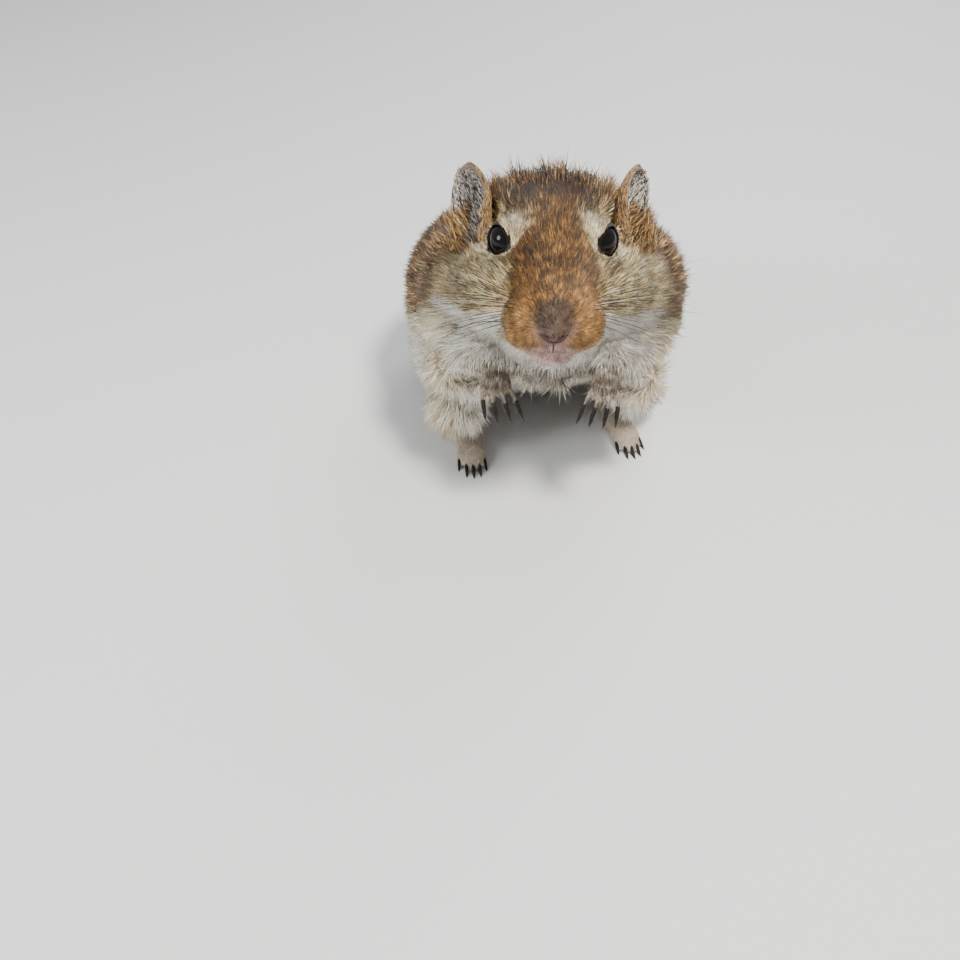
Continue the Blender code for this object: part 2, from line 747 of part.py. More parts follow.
def brush(path, core):
    """The tail's brush: locks in overlapping tiers round the core, the last of them past the tail's end."""
    total = sum((b - a).length for a, b in zip(path, path[1:]))
    locks = []
    for k in range(TUFT_LOCKS):
        share = k / (TUFT_LOCKS - 1)
        start = 2.0 + (total - 3.0) * share
        angle = math.radians(-24 + (k * 137.5) % 228)
        length = TUFT_LOCK_LENGTH * (0.86 + 0.08 * math.sin(2.4 * k) + 0.12 * share)
        locks.append(tuft_lock(path, start, angle, length, TUFT_LOCK_WIDTH * (1.05 - 0.15 * math.cos(1.7 * k))))
    return combine(core, locks, "UNION")


def make_tail(path, radii):
    """The free length of the tail in three lengths, parted by thin cuts across it. The last carries the brush."""
    cuts = [TAIL_ROOT_STEP, *TAIL_CUT_STEPS, len(path) - 1]
    for index, name in enumerate(("tail_base", "tail_middle", "tail_tip")):
        near, far = cuts[index], cuts[index + 1]
        last = far == len(path) - 1
        reach = slice(near - 2, len(path) if last else far + 3)
        sizes = radii[reach]
        if last:
            sizes = [r * blend_along((1, 0.95, 0.8, TUFT_CORE), k / (len(sizes) - 1)) for k, r in enumerate(sizes)]
        piece = tube(name, path[reach], sizes, count=12, cap=1.0 if last else 0.2)
        if last:
            brush(path[near:], piece)
        along = (path[near + 1] - path[near - 1]).normalized()
        ends = [half_space("near", path[near] + along * GAP / 2, -along, 30)]
        if not last:
            along = (path[far + 1] - path[far - 1]).normalized()
            ends.append(half_space("far", path[far] - along * GAP / 2, along, 30))
        combine(piece, ends, "DIFFERENCE")
        finish(on_floor(piece), name, "tuft" if last else "agouti")


def centre_on_floor():
    """Moves the model so that the middle of its bounding box stands over the origin, its lowest point at 0."""
    solids = [obj for obj in bpy.data.objects if obj.type == "MESH"]
    points = [vertex.co for obj in solids for vertex in obj.data.vertices]
    low = Vector(min(point[axis] for point in points) for axis in range(3))
    high = Vector(max(point[axis] for point in points) for axis in range(3))
    shift = Vector((-(low.x + high.x) / 2, -(low.y + high.y) / 2, -low.z))
    for obj in solids:
        obj.data.transform(Matrix.Translation(shift))
    return shift


def build():
    clear_scene()
    path = tail_path()
    radii = tail_sizes(path)
    flesh = flesh_masses(path, radii)
    fine = thinned(flesh, "fine", HEAD_SHARE_TRIANGLES)
    body = thinned(flesh, "coarse", BODY_SHARE_TRIANGLES)
    remove([flesh])
    make_head(fine)
    combine(body, [head_region(GAP)], "DIFFERENCE")
    for side in SIDES:
        make_foreleg(body, side)
        make_hind_leg(body, side)
        finish(eyeball(side), f"eye_{SIDE_NAMES[side]}", "eye")
        ear_piece = ear(side)
        finish(ear_piece, ear_piece.name, "ear")
    combine(body, [ear_outside(side, GAP) for side in SIDES], "DIFFERENCE")
    neck = keep_inside(copy_of(body, "neck"), neck_region())
    combine(body, [neck_region(GAP)], "DIFFERENCE")
    finish(neck, "neck", "agouti")
    root = path[TAIL_ROOT_STEP]
    along = (path[TAIL_ROOT_STEP + 1] - path[TAIL_ROOT_STEP - 1]).normalized()
    combine(body, [half_space("tail_side", root - along * GAP / 2, along, 30)], "DIFFERENCE")
    finish(on_floor(body), "torso", "agouti")
    make_tail(path, radii)
    return centre_on_floor()


build()
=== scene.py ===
"""Looks of a life-size still model of an agouti Mongolian gerbil.

One skin stands for the solids of flesh, and a coat of closed mesh tufts grows from it.
Lengths are millimetres in the animal's own frame until a mesh is made. SHIFT moves that frame to the row's.
"""

import math
from collections import namedtuple

import bmesh
import bpy
import numpy as np
from mathutils import Matrix, Vector
from mathutils.bvhtree import BVHTree


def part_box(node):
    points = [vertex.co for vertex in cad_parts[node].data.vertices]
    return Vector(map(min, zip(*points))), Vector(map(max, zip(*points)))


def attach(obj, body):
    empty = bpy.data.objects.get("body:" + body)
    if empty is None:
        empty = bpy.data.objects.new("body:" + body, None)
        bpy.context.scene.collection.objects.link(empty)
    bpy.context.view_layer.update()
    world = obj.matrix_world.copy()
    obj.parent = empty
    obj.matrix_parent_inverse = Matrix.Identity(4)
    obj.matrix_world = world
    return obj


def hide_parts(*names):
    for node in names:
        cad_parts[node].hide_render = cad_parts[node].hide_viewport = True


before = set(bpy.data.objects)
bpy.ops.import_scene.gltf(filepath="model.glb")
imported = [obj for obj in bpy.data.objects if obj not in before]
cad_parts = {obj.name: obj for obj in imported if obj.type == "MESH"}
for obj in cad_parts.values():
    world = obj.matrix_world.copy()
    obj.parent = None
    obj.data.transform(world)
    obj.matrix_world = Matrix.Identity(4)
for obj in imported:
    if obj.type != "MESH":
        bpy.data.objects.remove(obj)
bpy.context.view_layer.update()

MM = 0.001
SIDES = (-1, 1)
SIDE_NAMES = {-1: "right", 1: "left"}


def node_middle(node):
    low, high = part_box(node)
    return (low + high) / 2 / MM


# Places and sizes in the animal's own frame, with the middle between the eyes at HEAD_CENTRE

HEAD_CENTRE = Vector((0, -9, 54))
SHIFT = (node_middle("eye_left") + node_middle("eye_right")) / 2 - HEAD_CENTRE
HEAD = (
    Matrix.Translation(HEAD_CENTRE)
    @ Matrix.Rotation(math.radians(3), 4, "Z")
    @ Matrix.Rotation(math.radians(-4), 4, "X")
)
HEAD_TURN = HEAD.to_3x3()

# Eyes and ears in the head's frame
EYE_RADIUS = 3.2
EYE_OFFSET = Vector((8.0, 0, 0))
EYE_AXIS = Vector((0.76, -0.58, 0.29))
EAR_ROOT = Vector((13.5, 7.4, -4.0))
EAR_TIP = Vector((15.7, 15.7, 7.4))
EAR_FACING = {-1: Vector((0.78, -0.62, 0.0)), 1: Vector((0.87, -0.50, 0.0))}
EAR_MOUTH = Vector((14.6, 7.2, 0.4))
EAR_ROWS = 26
EAR_COLUMNS = 29
EAR_HAIRS = 10400

# Lids, with angles in degrees: corners as azimuth, reach and width, profile as rise and turn outward
LID_HALF = 38.5
LID_CORNERS = ((0, 12, 32), (122, 18, 28), (-112, 14, 30))
LID_PROFILE = ((0.02, 0), (0.16, -1.0), (0.28, 0.5), (0.34, 3), (0.36, 6), (0.32, 11), (0.20, 18), (-0.3, 29))
LID_COLUMNS = 72
LID_REACH = 4.25
LID_RIM = 10
FUR_MARGIN = 4
FRONT_MARGIN = 6

# Paws and feet, with fingers and toes as distances across and back
FOREPAWS = {-1: Vector((9.1, -20.5, 31.8)), 1: Vector((11.0, -20.5, 31.8))}
FOREPAW_LEAN = {-1: 2.0, 1: 1.2}
FINGERS = ((-2.55, 0.9), (-0.95, 0.15), (0.85, 0.0), (2.45, 0.7))
FINGER_RADIUS = 0.608
PALM_RADII = (2.9, 2.9, 1.7)
PALM_TURN = Matrix.Rotation(math.radians(38), 3, "X")
WRIST_OFFSET = Vector((0.5, 4.2, 2.4))
WRIST_RADII = (3.2, 3.0, 2.9, 2.7, 2.5)
ELBOW = Vector((14.6, -8.6, 26.4))
ELBOW_RADII = (5.4, 4.0, 3.8)
HEEL = Vector((15.4, 23.0, 2.6))
BALL = Vector((17.2, -2.5, 1.9))
TOES = ((-2.5, 2.2), (-1.3, 0.3), (0.0, 0.0), (1.3, 0.5), (2.6, 2.6))
TOE_RADIUS = 0.84
DIGIT_SWELL = (0.95, 1.0, 1.06, 1.04, 1.0, 0.94, 0.92, 0.94, 0.84)
CLAW_RADIUS = 0.45
CLAW_LENGTH = 3.2
CLAW_TAPER = (1.0, 0.90, 0.58, 0.08)

# Nostrils and whiskers
NOSTRIL_KNOTS = ((0.25, -19.85, -9.15), (1.1, -19.68, -8.85), (2.0, -19.05, -8.25), (2.6, -18.45, -7.55))
GROOVE_KNOTS = ((0, -20.15, -8.9), (0, -19.9, -9.9), (0, -19.2, -11.0))
WHISKER_STEPS = 8

# The tail, and the turn of the body's rear against the head
TAIL_STEPS = 5
TAIL_BRUSH_STEP = 25
BRUSH_RADII = (2.7, 2.6, 2.3, 1.6)
TURN_PIVOT_Y = 4
REAR = (
    Matrix.Translation((0, TURN_PIVOT_Y, 0))
    @ Matrix.Rotation(math.radians(15), 4, "Z")
    @ Matrix.Translation((0, -TURN_PIVOT_Y, 0))
)

# The head from nose to nape, as distance back, half width, top and bottom, and masses beside it
HEAD_STATIONS = (
    (-9.0, 8.3, 2.4, -14.6),
    (-5.0, 9.2, 4.2, -15.6),
    (0.0, 10.6, 6.0, -16.4),
    (5.0, 13.0, 6.9, -16.8),
    (10.0, 15.2, 7.1, -16.8),
    (15.0, 15.8, 6.6, -16.0),
    (20.0, 14.5, 4.6, -14.0),
)
SKULL_LUMPS = (((12.6, 13.0, -4.0), (5.0, 4.6, 7.0)), ((9.6, 9.0, 2.6), (3.6, 4.8, 4.2)))

LIMBS = ("foreleg_left", "foreleg_right", "hind_leg_left", "hind_leg_right")
FEET = ("hind_foot_left", "hind_foot_right")
FLESH_NODES = ("head", "neck", "torso", *LIMBS, "tail_base", "tail_middle", *FEET)

# How fine the skin is, how far the solids swell into it, and its lowest height
SKIN_VOXEL = 0.42
SKIN_SWELL = 0.24
FOOT_SWELL = 0.05
GROUND = 0.05

# Tufts: where the corners lie across, the faces of a spike of 2 points and of a spindle of 3
TUFT_CORNERS = ((-1.0, -0.4), (1.0, -0.4), (0.0, 0.9))
SPIKE = ((0, 1, 3), (1, 2, 3), (2, 0, 3), (0, 2, 1))
SPINDLE = ((0, 1, 3), (1, 0, 4), (1, 2, 3), (2, 1, 4), (2, 0, 3), (0, 2, 4))
SPINDLE_WIDTH = 0.8
PATCH_HALF = 0.0015

# How deep roots sink, how far strands stray and swirl, how low hair may reach, and its brightness
ROOT_DEPTH = 0.12
STRAY = 0.16
SWIRL_SIZE = 2.6
HAIR_GROUND = 0.08
HAIR_BRIGHTNESS = 1.05

# Tufts to the square millimetre
FACE_HAIRS = 34.0
BODY_HAIRS = 11.5
GUARD_HAIRS = 0.7
STREAKS = 3.4
PAW_HAIRS = 37.0
TAIL_HAIRS = 12.0

CAMERA_PLACE = Vector((0, -163.516, 136.158))
CAMERA_AHEAD = Vector((-0.06167, 0.73968, -0.67012))
CAMERA_RIGHT = Vector((0.99654, 0.08308, 0))
SENSOR = 36
FOCAL_PIXELS = 963
PHOTO_PIXELS = 960
FLOOR_HALF = 3

# Name, place, target, size, power and colour, in metres
LIGHTS = (
    ("key", (0.12, -0.18, 0.42), (0, -0.03, 0.04), 0.085, 3.1, (1.0, 0.97, 0.93)),
    ("fill", (-0.40, -0.25, 0.22), (0, -0.02, 0.03), 0.2, 1.6, (0.95, 0.97, 1.0)),
    ("back", (0.15, 0.40, 0.35), (0, 0.0, 0.04), 0.3, 1.6, (1, 1, 1)),
)


# Small helpers


def mirrored(point, side):
    return Vector((point[0] * side, point[1], point[2]))


def blend_along(values, share):
    place = min(max(share, 0), 1) * (len(values) - 1)
    index = min(int(place), len(values) - 2)
    return values[index] + (values[index + 1] - values[index]) * (place - index)


def radii_along(line, values, scale=1):
    """A radius for each point of a line, from values spread evenly along it."""
    return [scale * blend_along(values, k / (len(line) - 1)) for k in range(len(line))]


def smooth_path(knots, steps):
    """Points along a Catmull-Rom curve through the knots, steps to each span."""
    knots = [Vector(knot) for knot in knots]
    padded = [knots[0] * 2 - knots[1], *knots, knots[-1] * 2 - knots[-2]]
    points = []
    for a, b, c, d in zip(padded, padded[1:], padded[2:], padded[3:]):
        for step in range(steps):
            t = step / steps
            bend = (2 * a - 5 * b + 4 * c - d) * t**2 + (3 * b - a - 3 * c + d) * t**3
            points.append(0.5 * (2 * b + (c - a) * t + bend))
    return [*points, knots[-1]]


def add_object(name, data):
    obj = bpy.data.objects.new(name, data)
    bpy.context.scene.collection.objects.link(obj)
    return obj


def mesh_object(name, points, faces):
    """A smooth mesh object from points in the animal's frame."""
    mesh = bpy.data.meshes.new(name)
    mesh.from_pydata([tuple((Vector(p) + SHIFT) * MM) for p in points], [], faces)
    mesh.shade_smooth()
    return add_object(name, mesh)


def ring_faces(rings, count, closed=True):
    faces = []
    for ring in range(rings - 1):
        for step in range(count if closed else count - 1):
            after = (step + 1) % count
            here, there = ring * count, (ring + 1) * count
            faces.append((here + step, here + after, there + after, there + step))
    return faces


def tube_mesh(points, radii, flatness=1.0, up=Vector((0, 0, 1)), count=14, cap=0.35):
    """Points and faces of a closed tube, across by its radius and flatness times that along up."""
    made = []
    for index, point in enumerate(points):
        before = points[max(0, index - 1)]
        after = points[min(len(points) - 1, index + 1)]
        along = (after - before).normalized()
        across = along.cross(up)
        if across.length < 1e-3:
            across = along.cross(Vector((0, 1, 0)))
        across.normalize()
        rise = across.cross(along).normalized()
        for step in range(count):
            angle = 2 * math.pi * step / count
            made.append(point + (across * math.cos(angle) + rise * math.sin(angle) * flatness) * radii[index])
    faces = ring_faces(len(points), count)
    made.append(points[0] + (points[0] - points[1]).normalized() * radii[0] * cap)
    made.append(points[-1] + (points[-1] - points[-2]).normalized() * radii[-1] * cap)
    first, last = len(made) - 2, len(made) - 1
    final = (len(points) - 1) * count
    for step in range(count):
        after = (step + 1) % count
        faces.append((after, step, first))
        faces.append((final + step, final + after, last))
    return made, faces


def ellipsoid_shape(centre, radii, turn=Matrix.Identity(3), columns=32, rows=20):
    points, faces = [], []
    for row in range(1, rows):
        polar = math.pi * row / rows
        for column in range(columns):
            angle = 2 * math.pi * column / columns
            way = (math.sin(polar) * math.cos(angle), math.sin(polar) * math.sin(angle), math.cos(polar))
            points.append(Vector(centre) + turn @ Vector(w * r for w, r in zip(way, radii)))
    faces = [tuple(reversed(face)) for face in ring_faces(rows - 1, columns)]
    points.append(Vector(centre) + turn @ Vector((0, 0, radii[2])))
    points.append(Vector(centre) - turn @ Vector((0, 0, radii[2])))
    top, end = len(points) - 2, len(points) - 1
    final = (rows - 2) * columns
    for column in range(columns):
        after = (column + 1) % columns
        faces.append((column, after, top))
        faces.append((final + after, final + column, end))
    return points, faces


def joined(parts):
    """Several lists of points and faces as one."""
    points, faces = [], []
    for some_points, some_faces in parts:
        start = len(points)
        points += list(some_points)
        faces += [tuple(index + start for index in face) for face in some_faces]
    return points, faces


def read(items, field, width, kind=np.float32):
    flat = np.empty(len(items) * width, kind)
    items.foreach_get(field, flat)
    return flat.reshape(-1, width)


def points_of(mesh):
    return read(mesh.vertices, "co", 3).astype(float)


def own_points(mesh):
    """The mesh's points in the animal's frame."""
    return points_of(mesh) / MM - np.array(SHIFT)


def normals_of(mesh):
    return read(mesh.vertex_normals, "vector", 3).astype(float)


def set_points(mesh, points):
    mesh.vertices.foreach_set("co", points.astype(np.float32).ravel())
    mesh.update()


def settle(obj):
    """Turns the object's modifiers into its mesh."""
    graph = bpy.context.evaluated_depsgraph_get()
    mesh = bpy.data.meshes.new_from_object(obj.evaluated_get(graph))
    obj.modifiers.clear()
    obj.data = mesh


def soften(obj):
    """Smooths the mesh a little, and settles its other modifiers too."""
    smooth = obj.modifiers.new("smooth", "SMOOTH")
    smooth.factor = 0.5
    smooth.iterations = 3
    settle(obj)


def thicken(obj, thickness):
    thick = obj.modifiers.new("thick", "SOLIDIFY")
    thick.thickness = thickness * MM
    thick.offset = 0


def store_colours(mesh, colours):
    tint = mesh.color_attributes.new("Coat", "FLOAT_COLOR", "POINT")
    values = np.concatenate([colours, np.ones((len(colours), 1))], 1)
    tint.data.foreach_set("color", values.astype(np.float32).ravel())


def ease(low, high, value):
    """0 at low and 1 at high, with a smooth rise between."""
    share = np.clip((value - low) / (high - low), 0, 1)
    return share * share * (3 - 2 * share)


def bump(value, centre, width):
    return np.exp(-(((value - centre) / width) ** 2))


def unit(vectors):
    return vectors / np.maximum(np.linalg.norm(vectors, axis=-1, keepdims=True), 1e-9)


def mix(first, second, share):
    share = np.asarray(share)[..., None]
    return first * (1 - share) + second * share


def to_head(points):
    """Points of the animal's frame in the head's own frame."""
    return (points - np.array(HEAD_CENTRE)) @ np.array(HEAD_TURN)


def head_axes(points):
    """How far across from the head's middle, forward and up in its frame the points lie."""
    local = to_head(points)
    return np.abs(local[:, 0]), -local[:, 1], local[:, 2]


def from_head(vectors):
    return vectors @ np.array(HEAD_TURN).T


def head_spot(place, side):
    """A place of the head's frame, on the given side, in the animal's frame."""
    return np.array(HEAD @ mirrored(place, side))


def apart(points, spot, stretch=1):
    """How far the points lie from the spot, less so along the axes that are stretched."""
    return np.linalg.norm((points - np.array(spot)) / stretch, axis=1)


def near_spots(points, spots, far, close):
    """1 within the close distance of any of the spots, falling to 0 at the far one."""
    return np.max([ease(far, close, apart(points, spot)) for spot in spots], axis=0)


def on_foot(points, low, high, back=31, front=27):
    """1 on the hind feet, below the low height and ahead of front."""
    return ease(high, low, points[:, 2]) * ease(back, front, points[:, 1])


PAW_SPOTS = [np.array(mirrored(FOREPAWS[side], side)) for side in SIDES]
EYE_SPOTS = [head_spot(EYE_OFFSET, side) for side in SIDES]
EAR_SPOTS = [head_spot(place, side) for side in SIDES for place in ((13.8, 6.0, 0.6), (14.6, 11.5, 2.0))]


class Noise:
    """Smooth value noise in space from a seeded table."""

    def __init__(self, seed):
        self.table = np.random.default_rng(seed).random((32, 32, 32))

    def __call__(self, points, size):
        place = points / size
        base = np.floor(place).astype(int)
        share = place - base
        share = share * share * (3 - 2 * share)
        total = np.zeros(len(points))
        for corner in range(8):
            step = np.array([corner & 1, corner >> 1 & 1, corner >> 2 & 1])
            index = (base + step) % 32
            weight = np.prod(np.where(step, share, 1 - share), axis=1)
            total += weight * self.table[index[:, 0], index[:, 1], index[:, 2]]
        return total


NOISE = Noise(7)


# The tail's path on the floor

TAIL_PATH = smooth_path(
    [
        REAR @ Vector((0, 47, 8.2)),
        REAR @ Vector((0, 55, 4.6)),
        Vector((-17.5, 66, 3.1)),
        Vector((-14.5, 81, 2.7)),
        Vector((-3, 92, 2.4)),
        Vector((11, 92, 2.4)),
        Vector((21, 83, 2.6)),
        Vector((22.5, 70, 2.8)),
    ],
    TAIL_STEPS,
)


# Skin


def digit_shapes(root, bend, tip, radius, claw_turn):
    """The flesh of a finger or toe, and the claw at its end."""
    path = smooth_path([root, bend, tip], 4)
    finger = tube_mesh(path, [radius * swell for swell in DIGIT_SWELL], cap=0.7)
    along = (tip - bend).normalized()
    knots = [
        tip - along * 0.9,
        tip + along * (CLAW_LENGTH * 0.30) + claw_turn * 0.04,
        tip + along * (CLAW_LENGTH * 0.66) + claw_turn * 0.45,
        tip + along * (CLAW_LENGTH * 0.96) + claw_turn * 1.25,
    ]
    line = smooth_path(knots, 4)
    radii = radii_along(line, CLAW_TAPER, CLAW_RADIUS)
    claw = tube_mesh(line, radii, flatness=1.25, up=claw_turn, count=12, cap=1.0)
    return finger, claw


def forepaw_digits(side):
    paw = FOREPAWS[side]
    lean = FOREPAW_LEAN[side]
    shapes = []
    for offset, back in FINGERS:
        root = mirrored(paw + Vector((offset * 0.85, -1.4 + back * 0.7, -0.4)), side)
        bend = mirrored(paw + Vector((offset * 1.12 - lean * 0.25, -3.3 + back, -1.5)), side)
        tip = mirrored(paw + Vector((offset * 1.26 - lean * 0.6, -4.3 + back, -3.5)), side)
        shapes.append(digit_shapes(root, bend, tip, FINGER_RADIUS, Vector((0, 0.45, -0.3))))
    return shapes


def hind_foot_digits(side):
    along = (BALL - HEEL).normalized()
    across = Vector((along.y, -along.x, 0)).normalized() * -1
    shapes = []
    for offset, back in TOES:
        start = BALL + across * (offset * 0.8) - along * (1.0 + back)
        bend = start + along * 2.8 + across * (offset * 0.12)
        tip = bend + along * 1.8 + across * (offset * 0.10)
        start.z, bend.z, tip.z = 1.3, 1.55, 0.95
        root, middle, end = (REAR @ mirrored(p, side) for p in (start, bend, tip))
        shapes.append(digit_shapes(root, middle, end, TOE_RADIUS, Vector((0, 0, -0.35))))
    return shapes


def cad_shape(node, swell):
    """A CAD node's surface, grown by swell so that it melts into its neighbours."""
    bm = bmesh.new()
    bm.from_mesh(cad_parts[node].data)
    bmesh.ops.remove_doubles(bm, verts=bm.verts, dist=1e-6)
    bm.normal_update()
    points = [v.co / MM - SHIFT + v.normal * swell for v in bm.verts]
    faces = [tuple(v.index for v in f.verts) for f in bm.faces]
    bm.free()
    return points, faces


def coat_depth(points, normals):
    """How far the skin lies under the tips of the coat."""
    forward, height = head_axes(points)[1:]
    depth = 1.55 - 0.55 * ease(-8, 8, forward) - 0.45 * ease(6, 17, forward)
    on_head = ease(-24, -12, forward) * ease(-24, -17, height)
    body = 2.1 + 0.5 * ease(10, 22, points[:, 2]) - 0.5 * ease(12, 2, points[:, 2])
    depth = body + (depth - body) * on_head
    for paw, eye in zip(PAW_SPOTS, EYE_SPOTS):
        near = ease(11, 5, apart(points, paw))
        depth = depth * (1 - near) + 0.15 * near
        near = ease(6.5, 4.0, apart(points, eye))
        depth = depth * (1 - near) + 0.8 * near
    foot = on_foot(points, 4.4, 6.5, 33, 28)
    depth = depth * (1 - foot) + 0.16 * foot
    tail = ease(49, 56, points[:, 1])
    depth = depth * (1 - tail) + 0.85 * tail
    sole = ease(1.2, 0.3, points[:, 2]) * ease(-0.2, -0.8, normals[:, 2])
    return depth * (1 - 0.8 * sole)


def skull_shapes():
    """The back of the head again as plain masses, which fill the pockets that the ears leave in the solid."""
    rings = []
    columns = 48
    stations = smooth_path(HEAD_STATIONS, 2)
    for back, half, top, bottom in stations:
        middle, high = (top + bottom) / 2, (top - bottom) / 2
        for column in range(columns):
            angle = 2 * math.pi * column / columns
            wide = math.copysign(abs(math.cos(angle)) ** 0.88, math.cos(angle))
            tall = math.copysign(abs(math.sin(angle)) ** 0.88, math.sin(angle))
            rings.append(HEAD @ Vector((half * wide, back, middle + high * tall)))
    faces = [tuple(reversed(face)) for face in ring_faces(len(stations), columns)]
    faces.append(tuple(range(columns)))
    last = (len(stations) - 1) * columns
    faces.append(tuple(reversed(range(last, last + columns))))
    shapes = [(rings, faces)]
    for side in SIDES:
        for centre, radii in SKULL_LUMPS:
            shapes.append(ellipsoid_shape(HEAD @ mirrored(centre, side), radii, HEAD_TURN))
    return shapes


def open_ears(points):
    """Presses the skin in where the mouths of the ears open, away from the front and top."""
    for side in SIDES:
        way = np.array((HEAD_TURN @ mirrored((-0.35, 0.62, -0.70), side)).normalized())
        share = bump(apart(points, head_spot(EAR_MOUTH, side)), 0, 4.6)
        points = points + way * (4.2 * share)[:, None]
    return points


def fitting_depth(mesh, depth):
    """Less depth where the flesh is so thin that the skin would come near its other side."""
    bm = bmesh.new()
    bm.from_mesh(mesh)
    tree = BVHTree.FromBMesh(bm)
    shares = np.ones(len(bm.verts))
    for vert in bm.verts:
        for attempt in range(5):
            reach = depth[vert.index] * shares[vert.index] * MM
            nearest = tree.find_nearest(vert.co - vert.normal * reach)
            if nearest[3] > 0.8 * reach:
                break
            shares[vert.index] *= 0.65
    bm.free()
    return depth * shares


def make_skin():
    """The skin: the solids of flesh melted together, then drawn in by the depth of the coat."""
    parts = [cad_shape(node, FOOT_SWELL if node in FEET else SKIN_SWELL) for node in FLESH_NODES]
    for side in SIDES:
        paw = FOREPAWS[side]
        parts.append(ellipsoid_shape(mirrored(paw, side), PALM_RADII, PALM_TURN))
        wrist = smooth_path([mirrored(paw + WRIST_OFFSET, side), mirrored(paw, side)], 4)
        parts.append(tube_mesh(wrist, WRIST_RADII))
        parts += [finger for finger, claw in forepaw_digits(side)]
        parts += [toe for toe, claw in hind_foot_digits(side)]
        parts.append(ellipsoid_shape(mirrored(ELBOW, side), ELBOW_RADII))
    brush = TAIL_PATH[TAIL_BRUSH_STEP - 2 :]
    parts.append(tube_mesh(brush, radii_along(brush, BRUSH_RADII)))
    parts += skull_shapes()
    skin = mesh_object("skin", *joined(parts))
    remesh = skin.modifiers.new("melt", "REMESH")
    remesh.mode = "VOXEL"
    remesh.voxel_size = SKIN_VOXEL * MM
    soften(skin)
    mesh = skin.data
    points = open_ears(own_points(mesh))
    set_points(mesh, (points + np.array(SHIFT)) * MM)
    depth = fitting_depth(mesh, coat_depth(points, normals_of(mesh)))
    for half in range(2):
        set_points(mesh, points_of(mesh) - normals_of(mesh) * (depth * 0.5 * MM)[:, None])
        soften(skin)
        mesh = skin.data
    points = points_of(mesh)
    points[:, 2] = np.maximum(points[:, 2], GROUND * MM)
    set_points(mesh, points)
    mesh.shade_smooth()
    return skin


# Markings

DARK = np.array((0.016, 0.011, 0.008))
GREY = np.array((0.13, 0.115, 0.10))
BROWN = np.array((0.355, 0.190, 0.066))
OCHRE = np.array((0.32, 0.148, 0.033))
ORANGE = np.array((0.41, 0.205, 0.060))
BEIGE = np.array((0.88, 0.63, 0.315))
CREAM = np.array((0.85, 0.70, 0.44))
WHITE = np.array((0.91, 0.82, 0.68))
PINK = np.array((0.56, 0.36, 0.35))
NOSE_COLOUR = np.array((0.078, 0.052, 0.037))
NOSE_PINK = np.array((0.30, 0.185, 0.155))
# Painted shade for the crease where the lips meet
MOUTH_SHADE = np.array((0.10, 0.03, 0.025))
# Painted shade for the pale fur under the chin
THROAT_SHADE = np.array((0.24, 0.21, 0.17))
PAW_COLOUR = np.array((0.46, 0.36, 0.26))
FOOT_COLOUR = np.array((0.62, 0.51, 0.38))
EAR_PALE = np.array((0.62, 0.58, 0.51))
EAR_OCHRE = np.array((0.42, 0.26, 0.11))
BODY_SHIFT = np.array((0.92, 0.98, 1.16))
CROWN_SHIFT = np.array((0.66, 0.62, 0.58))
CHEST_SHIFT = np.array((0.97, 0.95, 0.91))


def tail_place(points):
    """How far along the tail's path each point lies, from 0 at its root to 1 at its tip."""
    path = np.array(TAIL_PATH)
    nearest = np.argmin(((points[:, None] - path[None]) ** 2).sum(2), axis=1)
    return nearest / (len(path) - 1)


def light_below(points, wobble):
    """1 on the pale chest and belly, whose border falls from the cheeks to the flanks."""
    border = np.clip(37.0 - 0.72 * (points[:, 1] + 7.5), 11, 39)
    return ease(3.5, -3.5, points[:, 2] + wobble - border)


def ear_front(points, side):
    """1 on the head just ahead of and inside an ear, where the hair climbs the ear."""
    return ease(3.8, 2.0, apart(points, head_spot((11.6, 9.4, 5.0), side)))


